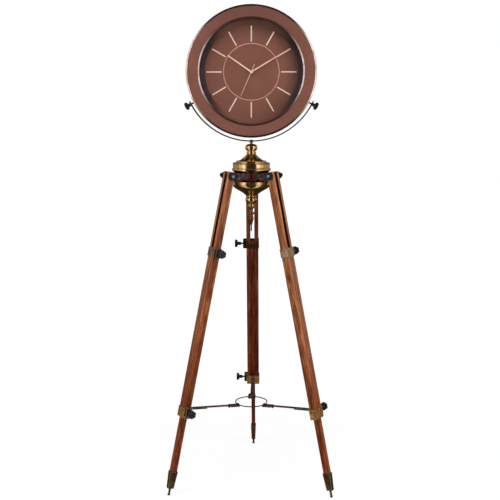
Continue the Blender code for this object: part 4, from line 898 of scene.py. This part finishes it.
def fork_strap():
    """The bent strap with rounded tips: a flat band swept round the case."""
    half, narrowest, count = FORK_WIDE / 2, 2.2, 120
    start, end = math.radians(180.0 + FORK_TIP_DEG), math.radians(360.0 - FORK_TIP_DEG)
    tip = half / ((FORK_INNER + FORK_OUTER) / 2)
    shape = bmesh.new()
    rings = []
    for index in range(count + 1):
        angle = start + (end - start) * (index / count)
        from_tip = min(1.0, min(angle - start, end - angle) / tip)
        reach = max(narrowest, half * math.sqrt(max(0.0, 1 - (1 - from_tip) ** 2)))
        across, up = math.cos(angle) * MM, math.sin(angle) * MM
        rings.append([shape.verts.new((r * across, r * up, z * MM)) for r, z in strap_section(reach)])
    size = len(rings[0])
    for one, two in zip(rings, rings[1:]):
        for index in range(size):
            after = (index + 1) % size
            shape.faces.new([one[index], one[after], two[after], two[index]])
    shape.faces.new(rings[0])
    shape.faces.new(rings[-1])
    return from_bmesh(shape)


def strap_nut():
    """A hexagonal nut with its upper corners turned off."""
    radius, high, bore = 5.8, 4.1, 2.8
    half, inner, outer = high / 2, radius * 0.9, radius * 1.02
    cone = lathe([(0, half), (inner, half, 0.1), (outer, half - 0.7), (outer, -half), (0, -half)], SMALL)
    nut = combined(prism(arc((0.0, 0.0), radius, 0.0, 300.0, 6), high), cone, "INTERSECT")
    return cut(nut, rod(bore, 10.0, 24))


def thumbscrew():
    """A three-lobed knob on a cone hub and a plain shaft."""
    knob = lathe([
        (0, 31.0), (8.2, 31.0, 1.0), (8.6, 26.0, 1.0), (7.4, 22.4, 1.0), (5.6, 20.0, 0.6), (5.0, 19.1, 0.3),
        (2.4, 19.0), (2.4, 1.0, 0.6), (1.2, 0.5), (0, 0.3),
    ], SMALL)
    angles = [math.radians(90.0 - 15.0 * step) for step in range(13)]
    for index in range(3):
        lobe = lathe([(6.1 * math.cos(a), 5.9 * math.sin(a)) for a in angles], SLIM)
        knob = joined(knob, moved(shifted(lobe, x=7.2, z=27.3), about("Z", 120.0 * index + 90.0)))
    dome = lathe([(0, 33.9), (3.4, 33.7, 0.5), (4.6, 33.2), (4.6, 30.0), (0, 30.0)], SLIM)
    return joined(knob, dome)


def fork_screw():
    """The slotted screw that holds the strap on the stem."""
    screw = lathe([
        (0, -209.3), (3.0, -209.4, 0.4), (6.0, -210.8, 0.6), (6.0, -212.1), (3.0, -212.1), (3.0, -237.1),
        (0, -237.1),
    ], 40)
    slot = shifted(block(1.2, 14.0, 1.6), z=-209.4)
    return moved(cut(screw, slot), about("X", -90.0))


def build_fork():
    bores = [moved(shifted(rod(2.8, 30.0, 24), z=14.0), radial(side)) for side in (-1, 1)]
    piece(cut(fork_strap(), *bores), "fork_strap", "fork", "strap", CLOCK, "polished_brass", "fork")
    for side, label in ((-1, "left"), (1, "right")):
        nut = moved(shifted(strap_nut(), z=16.5), radial(side))
        piece(nut, f"strap_nut_{label}", "fork", "bolt", CLOCK, "polished_brass")
        screw, name = moved(thumbscrew(), radial(side)), f"thumbscrew_{label}"
        piece(screw, f"lobed_{name}", name, "black", CLOCK, "black_knob", name)
    piece(fork_screw(), "fork_screw_head", "fork", "bolt", CLOCK, "dark_steel", "fork_screw")


# Clock


def clock_case():
    return lathe([
        (164.5, 24.0, 0.4), (196.6, 24.0, 0.4), (197.3, 23.4, 0.3), (197.5, 21.1), (CASE_RADIUS, 21.1, 0.3),
        (CASE_RADIUS, -19.0, 3.0), (200.0, -23.0, 2.0), (196.0, -24.0, 2.0), (185.0, -24.0, 0.4),
        (185.0, -22.2), (194.2, -22.2), (199.2, -19.0), (199.2, 19.3), (164.5, 19.3),
    ], FINE, closed=True)


def edge_trim():
    """The bright rim of the case, sloped outwards so that it catches the light from the sides."""
    return lathe([
        (197.8, 24.0, 0.3), (198.6, 24.3, 0.5), (202.7, 22.5, 0.7), (203.2, 21.7, 0.2), (203.2, 21.4),
        (197.8, 21.4),
    ], FINE, closed=True)


def bezel():
    return lathe([
        (160.0, 25.6, 0.4), (161.0, 26.9, 0.6), (166.1, 24.8, 0.3), (166.3, 24.3, 0.1), (164.2, 24.3),
        (164.2, 17.8), (160.0, 17.8),
    ], FINE, closed=True)


def glass_pane():
    return lathe([(0, 19.8), (159.7, 19.8, 0.2), (159.7, 17.8, 0.2), (0, 17.8)], FINE)


def dial_face():
    return lathe([(4.3, 4.5, 0.1), (DIAL_FLAT, 4.5), (DIAL_FLAT, 3.7), (4.3, 3.7)], FINE, closed=True)


def dial_cone():
    return lathe([
        (142.1, 4.5), (142.8, 4.7, 0.3), (143.6, 5.4, 0.4), (157.2, 16.4, 0.6), (158.6, 17.5, 0.4),
        (164.1, 17.5), (164.1, 16.7), (158.6, 16.7), (143.6, 4.5), (142.1, 3.7),
    ], FINE, closed=True)


def markers():
    bars = []
    for index in range(12):
        bar = shifted(block(3.7, 47.8, 0.6, 0.2, 2), y=116.5, z=4.82)
        bars.append(moved(bar, about("Z", 30.0 * index)))
    return merged(bars)


def printed_circle():
    return lathe([(85.8, 4.55), (85.9, 4.68), (87.7, 4.68), (87.8, 4.55)], FINE, closed=True)


def hand(length, tail, wide, tip, bore, hub):
    """A tapered hand that points along Y, its back on Z = 0."""
    upper, half, end, back = 0.35, wide / 2, tip / 2, wide * 0.4
    right = [(back, -tail), (half, 0.0), (end, length - 0.6)]
    left = [(-x, y) for x, y in reversed(right)]
    blade = prism([left[-1], *right, (0.0, length), *left[:-1]], 2 * upper, 0.18, 2)
    disc = lathe([(bore, upper), (hub, upper, 0.2), (hub, -upper, 0.1), (bore, -upper)], 40, closed=True)
    return shifted(joined(cut(blade, rod(bore, 4.0, 40)), disc), z=upper)


def second_cap():
    return lathe([(0, 1.15), (1.2, 1.1, 0.3), (2.4, 0.9, 0.2), (2.4, 0.5), (0, 0.5)], SLIM)


def build_hands():
    """Each hand from its sizes, with its height over the dial's frame and the angle that it shows."""
    for name, material, sizes, height, angle_deg in (
        ("hour_hand", "hand_gold", (89.5, 6.0, 5.2, 3.0, 2.8, 5.2), 6.703, 304.5),
        ("minute_hand", "minute_gold", (138.9, 6.0, 4.4, 2.4, 1.9, 4.4), 8.903, 59.5),
        ("second_hand", "hand_gold", (80.1, 25.7, 1.6, 1.1, 1.0, 3.3), 11.103, 204.0),
    ):
        shape = hand(*sizes)
        if name == "second_hand":
            shape = joined(shape, second_cap())
        matrix = CLOCK @ by(z=height) @ about("Z", -angle_deg)
        piece(shape, f"slim_{name}", name, material, matrix, "hand_metal", name)


def back_lid():
    return lathe([
        (2.7, -25.7), (30.0, -25.5, 4.0), (92.0, -24.2, 6.0), (168.0, -23.0, 1.0), (172.0, -23.0, 0.5),
        (183.1, -22.5), (184.7, -22.5), (184.7, -24.3), (188.0, -24.3), (188.0, -25.3, 0.5),
        (187.0, -25.9, 0.5), (176.0, -25.9, 0.8), (173.4, -25.0, 0.8), (168.0, -24.6, 1.0),
        (92.0, -25.8, 6.0), (30.0, -27.1, 4.0), (12.5, -27.3, 0.5), (11.5, -26.7, 0.3), (2.7, -26.7),
    ], FINE, closed=True)


def lid_screws():
    screws = []
    for index in range(6):
        screw = lathe([(0, -27.2), (1.5, -27.1, 0.3), (2.6, -26.4, 0.3), (2.6, -25.9), (0, -25.9)], 24)
        slot = shifted(block(0.7, 8.0, 1.0), z=-27.4)
        screw = shifted(moved(cut(screw, slot), about("Z", 37.0 * index)), x=181.4)
        screws.append(moved(screw, about("Z", 60.0 * index + 30.0)))
    return merged(screws)


def setting_knob():
    """A knurled disc on a stem."""
    radii = [8.1, 8.5] * 36
    angles = [2 * math.pi * index / len(radii) for index in range(len(radii))]
    knurl = [(r * math.cos(a), r * math.sin(a)) for r, a in zip(radii, angles)]
    disc = shifted(prism(knurl, 5.4, 0.4, 2), z=-30.35)
    stem = shifted(rod(2.4, 20.9, SLIM), z=-20.75)
    cap = lathe([(0, -33.05), (5.0, -33.05, 0.3), (5.6, -32.7, 0.3), (5.6, -32.0), (0, -32.0)], 40)
    return joined(disc, stem, cap)


def build_clock():
    for name, shape, material, slot, *cad_names in (
        ("clock_case", clock_case(), "ring", "case_paint", "case"),
        ("edge_trim", edge_trim(), "rim", "gold_trim", "edge_ring"),
        ("bezel_ring", bezel(), "bezel", "gold_trim", "bezel"),
        ("dial_face", dial_face(), "dial", "case_paint", "dial"),
        ("dial_cone", dial_cone(), "cone", "case_paint"),
        ("hour_markers", markers(), "gold_line", "hand_metal"),
        ("printed_circle", printed_circle(), "circle", "case_paint"),
        ("glass_pane", glass_pane(), "glass", "clear_glass", "glass"),
        ("back_lid", back_lid(), "lid", "black_lid", "back_cover"),
        ("lid_screws", lid_screws(), "bolt", "black_lid"),
    ):
        piece(shape, name, "clock", material, CLOCK, slot, *cad_names)
    name = "setting_knob"
    piece(setting_knob(), f"knurled_{name}", name, "black", CLOCK, "black_knob", name)
    build_hands()
    for name, material in (("movement", "inside"), ("battery", "cell")):
        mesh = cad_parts[name].data
        mesh.materials.clear()
        mesh.materials.append(MATERIALS[material])


# Legs, in each leg's frame


def slat(side):
    length = SLAT_TOP + SLAT_FOOT
    shape = block(SLAT_WIDE, SLAT_DEEP, length, 1.3, 4)
    shape = shifted(shape, x=side * (SLAT_SPACE + SLAT_WIDE) / 2, z=SLAT_TOP - length / 2)
    return cut(shape, along_x(rod(HINGE_BORE, 60.0, SLIM)))


def hinge_bolt():
    """Along Z: a round stepped head at the top and a chamfered end at the bottom."""
    face = HINGE_FACE
    return lathe([
        (0, face + 4.6), (3.4, face + 4.6, 0.4), (3.9, face + 3.6, 0.3), (5.4, face + 3.6, 0.4),
        (6.0, face + 5.3, 0.5), (7.4, face + 5.3, 0.7), (8.6, face + 3.6, 0.9), (8.6, face, 0.4), (3.2, face),
        (3.2, -face - 3.0), (3.2, -face - 11.4, 0.4), (2.2, -face - 12.0), (0, -face - 12.0),
    ], SMALL)


def hinge_nut():
    """A three-lobed knob on a hub, bored for the end of the bolt."""
    knob = prism(lobed(11.1, 1.4, 3, 20), 9.0, 2.2, 4)
    knob = shifted(moved(knob, about("Z", 90.0)), z=12.0)
    hub = lathe([(0, 0.0), (6.2, 0.0, 0.4), (6.2, 2.4, 0.4), (5.6, 3.0, 0.3), (6.4, 8.0), (0, 8.0)], SMALL)
    return cut(joined(knob, hub), shifted(rod(HINGE_BORE, 40.0, SLIM), z=8.0))


def inner_leg():
    half = SLAT_SPACE / 2 - GAP
    top = arc((0.0, -INNER_TOP_AT - half), half, 0.0, 180.0, 24)
    outline = [*top, (-half, -INNER_BOTTOM_AT), (half, -INNER_BOTTOM_AT)]
    return moved(prism(outline, SLAT_DEEP, 0.9), about("X", 90.0))


def inner_leg_cap():
    return lathe([(0, 1.3), (2.6, 1.2, 0.4), (3.6, 0.6, 0.3), (3.6, -1.2), (0, -1.2)], SLIM)


def with_lug(collar, height):
    """The collar with the bored lug of its clamp knob at a height."""
    thick = 11.2
    lug = shifted(block(thick, 19.0, 31.0, 3.0, 4), x=-LEG_HALF_WIDE - GAP - thick / 2, z=height)
    bore = shifted(along_x(rod(KNOB_BORE, 16.0, SLIM)), x=-LEG_HALF_WIDE - 6.0, z=height)
    return cut(joined(collar, lug), bore)


def sleeve(high):
    inner = block(2 * (LEG_HALF_WIDE + GAP), 2 * (LEG_HALF_DEEP + GAP), high + 4.0)
    return cut(block(COLLAR_WIDE, COLLAR_DEEP, high, 0.7), inner)


def band(over, edge):
    """A low ring round a sleeve. Over is how much wider it is."""
    ring = block(COLLAR_WIDE + over, COLLAR_DEEP + over, 2.4, edge, 2)
    return cut(ring, block(COLLAR_WIDE - 1.0, COLLAR_DEEP - 1.0, 8.0))


def upper_collar():
    """A sleeve with two bands and a notch that is open at the top."""
    corners = [(-14.0, -13.0), (14.0, -13.0), (14.0, 8.0), (-14.0, 8.0)]
    notch = moved(prism(rounded_outline(corners, 2.4), 10.0), about("X", 90.0))
    notch = shifted(notch, y=-COLLAR_HALF_DEEP, z=14.5)
    opening = shifted(block(28.0, 8.0, 20.0), y=-COLLAR_HALF_DEEP, z=12.5)
    top_band = cut(shifted(band(0.8, 0.4), z=11.9), opening)
    foot_band = shifted(band(0.8, 0.4), z=-11.9)
    collar = joined(cut(sleeve(28.0), notch), top_band, foot_band)
    return shifted(with_lug(collar, 0.0), z=-UPPER_COLLAR_AT)


def pivot_ear(side):
    radius, root = 4.4, 11.5
    outline = [(-root, -radius), *arc((-PIVOT_IN, 0.0), radius, 270.0, 90.0, 16), (-root, radius)]
    ear = moved(prism(outline, 3.0, 0.5, 2), about("Z", 90.0) @ about("X", 90.0))
    return shifted(ear, x=side * 7.8, z=LOWER_COLLAR_AT - PIVOT_AT)


def lower_collar():
    """A sleeve with a boss on each side, a band at its top, and the ears and pin of the strut's pivot."""
    collar = shifted(sleeve(32.0), z=2.0)
    for side in (-1, 1):
        boss = along_x(rod(5.0, 2.4, SMALL, 0.5))
        collar = joined(collar, shifted(boss, x=side * (COLLAR_WIDE / 2 - 0.9), z=-8.4), pivot_ear(side))
    pin = shifted(along_x(rod(2.0, 19.6, SLIM, 0.4)), y=-PIVOT_IN, z=LOWER_COLLAR_AT - PIVOT_AT)
    collar = joined(collar, shifted(band(0.9, 0.5), z=16.6), pin)
    return shifted(with_lug(collar, LOWER_COLLAR_AT - LOWER_KNOB_AT), z=-LOWER_COLLAR_AT)


def clamp_knob():
    """A six-lobed knob with a dished face, on a hub and a shaft."""
    knob = shifted(prism(lobed(12.5, 0.8, 6, 14), 9.0, 1.6, 4), z=34.5)
    hub = lathe([
        (0, 34.0), (6.4, 34.0), (6.4, 29.4, 0.4), (5.9, 28.6, 0.5), (5.7, 19.2, 0.6), (5.0, 18.2, 0.3),
        (2.8, 18.2), (2.8, 0.8, 0.4), (0, 0.3),
    ], SMALL)
    dish = lathe([(0, 38.2), (5.4, 38.2, 0.6), (6.6, 39.4), (6.6, 42.0), (0, 42.0)], SMALL)
    button = lathe([(0, 38.95), (1.6, 38.9, 0.4), (2.8, 38.3), (2.8, 36.0), (0, 36.0)], SLIM)
    return joined(cut(knob, dish), hub, button)


def ferrule():
    """A tapered shoe, with its rounded edges marked for its material."""
    top, wall = -INNER_BOTTOM_AT - GAP, 2.5
    wide, deep = SLAT_SPACE - 2 * GAP + 2 * wall, SLAT_DEEP + 2 * wall
    shoe = shifted(block(wide, deep, FERRULE_LENGTH, 1.5, 4, foot=0.76), z=top - FERRULE_LENGTH / 2)
    shoe = cut(shoe, shifted(rod(3.1, 24.6, SLIM), z=top - FERRULE_LENGTH))
    edge = shoe.data.attributes.new("edge", "FLOAT", "FACE")
    for face, mark in zip(shoe.data.polygons, edge.data):
        mark.value = 1.0 if max(abs(part) for part in face.normal) < 0.985 else 0.0
    return shoe


def spike():
    """A waisted point, cut off level with the floor."""
    top, foot = SPIKE_LENGTH - FOOT_AT, -FOOT_AT
    shape = lathe([
        (0, top + 12.0), (2.8, top + 12.0), (2.8, top), (4.6, top, 0.2), (4.4, top - 1.2, 0.6),
        (3.6, top - 3.6, 0.5), (3.5, foot + 5.2, 0.6), (4.5, foot + 2.8, 0.6), (4.6, foot - 4.6),
        (0, foot - 4.6),
    ], SMALL)
    below = moved(shifted(block(40.0, 40.0, 40.0), z=-20.0), about("X", -SPLAY_DEG))
    return cut(shape, shifted(below, z=foot))


def ring_in_strut():
    """How far along and above a strut the middle of the ring's wire is, from the strut's pivot."""
    splay, drop = math.radians(SPLAY_DEG), math.radians(STRUT_DROP_DEG)
    radius = HINGE_RADIUS + PIVOT_AT * math.sin(splay) - PIVOT_IN * math.cos(splay)
    above = 1.5 + GAP + WIRE_RADIUS
    return (radius - RING_RADIUS - above * math.sin(drop)) / math.cos(drop), above


def spreader_arm():
    """Along -Y from its eye: a strip, a doubler below it and a plate with its hook."""
    reach, above = ring_in_strut()
    inside, hook_half, hook_thick = RING_RADIUS - WIRE_RADIUS, 5.5, 2.4
    behind_wire = inside - math.sqrt(inside**2 - hook_half**2)
    end = reach + WIRE_RADIUS + GAP + behind_wire + hook_thick
    strip_end = end - 18.0
    strip = shifted(block(11.4, strip_end, 3.2, 0.5, 2), y=-strip_end / 2, z=0.4)
    doubler = shifted(block(10.6, 55.0, 4.6, 0.5, 2), y=-29.7, z=-2.3)
    eye = along_x(rod(4.4, 12.0, SMALL, 0.5))
    wide, narrow = 12.5, 6.5
    shoulder, neck = 32.0 - end, 36.0 - end
    corners = [(-wide, -end), (wide, -end), (wide, shoulder)]
    corners += [(narrow, neck), (-narrow, neck), (-wide, shoulder)]
    plate = shifted(prism(rounded_outline(corners, 2.5), 4.0, 0.5, 2), z=-0.5)
    lip = shifted(block(12.0, 2.6, 6.0, 0.5, 2), y=34.6 - end, z=-3.2)
    rise = above + WIRE_RADIUS + 1.2
    hook = shifted(block(2 * hook_half, hook_thick, rise, 0.5, 2), y=hook_thick / 2 - end, z=rise / 2)
    arm = joined(strip, doubler, eye, plate, lip, hook)
    for place in (-11.0, -50.0, 27.0 - end):
        rivet = lathe([(0, 3.0), (1.4, 2.9, 0.3), (2.4, 2.2), (2.4, 1.4), (0, 1.4)], 24)
        arm = joined(arm, shifted(rivet, y=place))
    return cut(arm, along_x(rod(2.3, 20.0, SLIM)))


def aside(x, z, side):
    """A frame at a place on the leg, its +Z to the side given."""
    return by(x=x, z=z) @ from_z((side, 0, 0))


def copy_of(obj):
    return link(obj.name, obj.data.copy())


def build_wood(place, leg, shapes, first_grain):
    """The two slats and the inner leg, each with its own grain, lightness and hue, and painted shade beside
    the slot.
    """
    edge = SLAT_SPACE / 2
    beside_slot, in_slot = (edge + 1.5, edge + 0.6), (edge - 1.1, edge - 0.5)
    for index, (node_name, body, shade) in enumerate((
        ("slat_a", f"leg_{place}", beside_slot),
        ("slat_b", f"leg_{place}", beside_slot),
        ("inner_leg", f"inner_leg_{place}", in_slot),
    )):
        name = f"wood_{node_name}_{place}"
        tones, grain = WOOD_TONES_AND_SHADE[place][node_name], GRAIN_STEP * (first_grain + index)
        MATERIALS[name] = wood(name, grain, *shade, WOOD_SHADE_AT_FEET[place], *tones)
        piece(copy_of(shapes[node_name]), name, body, name, leg, "wood", f"{node_name}_{place}")


def build_leg(place, azimuth_deg, nut_side, shapes, first_grain):
    leg = leg_matrix(azimuth_deg)
    outer, inner = f"leg_{place}", f"inner_leg_{place}"
    build_wood(place, leg, shapes, first_grain)
    shoe_material = "ferrule_back" if place == "back" else "ferrule"
    for name, body, material, slot in (
        ("upper_collar", inner, UPPER_COLLAR_BRONZE[place], "dark_bronze"),
        ("lower_collar", outer, "cast_brass", "cast_brass"),
    ):
        piece(copy_of(shapes[name]), f"fine_{name}_{place}", body, material, leg, slot, f"{name}_{place}")
    for name, material, slot in (("ferrule", shoe_material, "cast_brass"), ("spike", "spike", "dark_steel")):
        shape = moved(copy_of(shapes[name]), leg)
        piece(shape, f"fine_{name}_{place}", inner, material, Matrix(), slot, f"{name}_{place}")
    pivot = leg @ by(y=-PIVOT_IN, z=-PIVOT_AT) @ about("X", STRUT_DROP_DEG - SPLAY_DEG)
    bolt = leg @ aside(0.0, 0.0, -nut_side)
    nut = leg @ aside(nut_side * HINGE_FACE, 0.0, nut_side)
    name = f"hinge_bolt_{place}"
    piece(copy_of(shapes["hinge_bolt"]), f"round_{name}", outer, "bolt_head", bolt, "dark_steel", name)
    name = f"wing_nut_{place}"
    piece(copy_of(shapes["hinge_nut"]), f"lobed_hinge_nut_{place}", name, "black", nut, "black_knob", name)
    for name, height in ((f"upper_knob_{place}", UPPER_COLLAR_AT), (f"lower_knob_{place}", LOWER_KNOB_AT)):
        knob = moved(copy_of(shapes["clamp_knob"]), leg @ aside(-LEG_HALF_WIDE, -height, -1.0))
        piece(knob, f"lobed_{name}", name, "black", Matrix(), "black_knob", name)
    cap = leg @ by(z=-INNER_TOP_AT)
    piece(copy_of(shapes["inner_leg_cap"]), f"inner_leg_cap_{place}", inner, "black", cap, "black_knob")
    name = f"spreader_arm_{place}"
    piece(copy_of(shapes["spreader_arm"]), f"flat_{name}", name, "strut", pivot, "dark_steel", name)


def build_legs():
    """Each piece is made once, and copied to the three legs."""
    shapes = {
        "slat_a": slat(-1), "slat_b": slat(1), "inner_leg": inner_leg(), "inner_leg_cap": inner_leg_cap(),
        "hinge_bolt": hinge_bolt(), "hinge_nut": hinge_nut(), "clamp_knob": clamp_knob(),
        "upper_collar": upper_collar(), "lower_collar": lower_collar(), "ferrule": ferrule(),
        "spike": spike(), "spreader_arm": spreader_arm(),
    }
    for index, (place, (azimuth_deg, nut_side)) in enumerate(LEGS.items()):
        build_leg(place, azimuth_deg, nut_side, shapes, 3 * index + 1)
    for obj in shapes.values():
        bpy.data.objects.remove(obj, do_unlink=True)


def build_ring():
    low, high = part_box("spreader_ring")
    angles = [2 * math.pi * index / 20 for index in range(20)]
    wire = [(RING_RADIUS + WIRE_RADIUS * math.cos(a), WIRE_RADIUS * math.sin(a)) for a in angles]
    place = Matrix.Translation((AXIS.x, AXIS.y, (low.z + high.z) / 2))
    ring, name = lathe(wire, 144, closed=True), "spreader_ring"
    piece(ring, f"round_{name}", name, "wire", place, "dark_steel", name, smooth_deg=60.0)


# Stage: floor, light and camera, in metres


def emission(name, strength, colour):
    material = bpy.data.materials.new(name)
    material.use_nodes = True
    tree = material.node_tree
    tree.nodes.clear()
    glow = node(tree, "ShaderNodeEmission", Color=(*colour, 1.0), Strength=strength)
    node(tree, "ShaderNodeOutputMaterial", Surface=glow.outputs[0])
    return material


def seen_white(tree):
    """1 for rays that should meet the white background: camera, glossy and transmission rays."""
    path = node(tree, "ShaderNodeLightPath").outputs
    direct = maths(tree, "MAXIMUM", path["Is Camera Ray"], path["Is Glossy Ray"])
    return maths(tree, "MAXIMUM", direct, path["Is Transmission Ray"])


def level_grid(name, size):
    shape = bmesh.new()
    bmesh.ops.create_grid(shape, x_segments=1, y_segments=1, size=size)
    grid = from_bmesh(shape)
    grid.name = name
    return grid


def build_floor():
    """White paper that takes shadows near the clock and glows further out."""
    material, tree = blank("floor_paper", (0.9, 0.9, 0.9), 0.9, Specular_IOR_Level=0.0)
    away = vectors(tree, "LENGTH", coordinates(tree), output="Value")
    share = maths(tree, "MULTIPLY", seen_white(tree), spread(tree, away, 0.82, 1.0, 0.5, 1.3))
    glow = node(tree, "ShaderNodeEmission", Color=(1.0, 1.0, 1.0, 1.0), Strength=1.06)
    paper = tree.nodes["Principled BSDF"]
    mix = node(tree, "ShaderNodeMixShader", None, share, paper.outputs[0], glow.outputs[0])
    tree.links.new(mix.outputs[0], tree.nodes["Material Output"].inputs["Surface"])
    floor = level_grid("stage_floor", 12.0)
    floor.data.materials.append(material)


def stage_card(card, material):
    """Puts a card on the stage that only reflections see."""
    card.data.materials.append(material)
    for ray in ("camera", "diffuse", "transmission", "volume_scatter", "shadow"):
        setattr(card, f"visible_{ray}", False)


def build_card(name, azimuth_deg, half_deg, strength, colour):
    """A tall card, curved round the clock."""
    radius, low, high, count = 4.2, -1.0, 5.0, 24
    shape = bmesh.new()
    columns = []
    for index in range(count + 1):
        angle = math.radians(azimuth_deg - half_deg + 2 * half_deg * index / count)
        x, y = AXIS.x + radius * math.cos(angle), AXIS.y + radius * math.sin(angle)
        columns.append([shape.verts.new((x, y, low)), shape.verts.new((x, y, high))])
    for one, two in zip(columns, columns[1:]):
        shape.faces.new([one[0], two[0], two[1], one[1]])
    card = from_bmesh(shape)
    card.name = name
    stage_card(card, emission(name, strength, colour))


def build_flat_card(name, height, inner, outer, from_radius, to_radius, wedges=0.0):
    """A level card of one strength near the axis and another far out.

    Wedges is the strength of two bright parts in front of the clock, to the left and right of the camera.
    """
    material = emission(name, inner, (1.0, 0.86, 0.66))
    tree = material.node_tree
    away = vectors(tree, "LENGTH", coordinates(tree), output="Value")
    strength = spread(tree, away, inner, outer, from_radius, to_radius)
    if wedges:
        unit = vectors(tree, "NORMALIZE", coordinates(tree))
        ahead = node(tree, "ShaderNodeSeparateXYZ", None, unit).outputs[1]
        start = spread(tree, ahead, 0.0, 1.0, -0.42, -0.52)
        end = spread(tree, ahead, 1.0, 0.0, -0.80, -0.86)
        strength = maths(tree, "MULTIPLY_ADD", maths(tree, "MULTIPLY", start, end), wedges, strength)
    tree.links.new(strength, tree.nodes["Emission"].inputs["Strength"])
    card = level_grid(name, 4.3)
    card.location = (AXIS.x, AXIS.y, height)
    stage_card(card, material)


def build_light(name, location, size, power):
    """A soft lamp that looks at the clock and isn't seen in reflections."""
    target = Vector((AXIS.x, AXIS.y, 0.95))
    data = bpy.data.lights.new(name, "AREA")
    data.shape = "RECTANGLE"
    data.size, data.size_y = size
    data.energy = power
    lamp = link(name, data)
    lamp.location = location
    lamp.rotation_euler = (target - Vector(location)).to_track_quat("-Z", "Y").to_euler()
    lamp.visible_glossy = False


def build_world():
    world = bpy.data.worlds.new("studio")
    bpy.context.scene.world = world
    world.use_nodes = True
    tree = world.node_tree
    background = tree.nodes["Background"].inputs
    background["Color"].default_value = (1.0, 1.0, 1.0, 1.0)
    tree.links.new(spread(tree, seen_white(tree), 0.34, 1.0), background["Strength"])


def build_camera():
    """At the photograph's viewing angle, from a fit to the legs, the knobs and the spreader ring."""
    distance, height, pitch_deg, turn_deg, aside_deg = 2.6975, 1.182, 8.7, 1.63, 0.09
    focal_pixels, photo_pixels = 847.0, 500.0
    turn = math.radians(turn_deg)
    data = bpy.data.cameras.new("camera")
    data.sensor_width = 36.0
    data.lens = data.sensor_width * focal_pixels / photo_pixels
    data.clip_end = 60.0
    camera = link("camera", data)
    camera.location = (AXIS.x + distance * math.sin(turn), AXIS.y - distance * math.cos(turn), height)
    camera.rotation_euler = (math.radians(90.0 - pitch_deg), 0.0, turn + math.radians(aside_deg))
    bpy.context.scene.camera = camera


def build_stage():
    build_floor()
    build_world()
    build_card("card_front", 270.0, 34.0, 0.03, (1.0, 0.8, 0.55))
    for name, from_front_deg, half_deg, strength, colour in (
        ("near", 44.0, 10.0, 1.7, (1.0, 1.0, 1.2)),
        ("side", 68.0, 14.0, 0.85, (1.0, 0.94, 0.95)),
        ("far", 115.0, 33.0, 0.42, (1.0, 0.82, 0.58)),
    ):
        build_card(f"card_{name}_left", 270.0 - from_front_deg, half_deg, strength, colour)
        build_card(f"card_{name}_right", 270.0 + from_front_deg, half_deg, strength, colour)
    build_card("card_back", 90.0, 31.0, 0.05, (1.0, 0.86, 0.66))
    build_flat_card("card_above", 5.0, 0.42, 0.03, 0.9, 1.8)
    build_flat_card("card_below", 0.001, 0.03, 0.05, 0.8, 2.5, 0.9)
    build_light("soft_left", (-2.3, -1.7, 1.9), (1.4, 2.2), 42.0)
    build_light("soft_right", (2.3, -1.6, 1.8), (1.4, 2.2), 40.0)
    build_light("soft_top", (0.0, -0.9, 3.4), (2.0, 1.6), 26.0)
    bpy.context.scene.view_settings.view_transform = "Standard"


build_camera()
build_head()
build_fork()
build_clock()
build_legs()
build_ring()
build_stage()
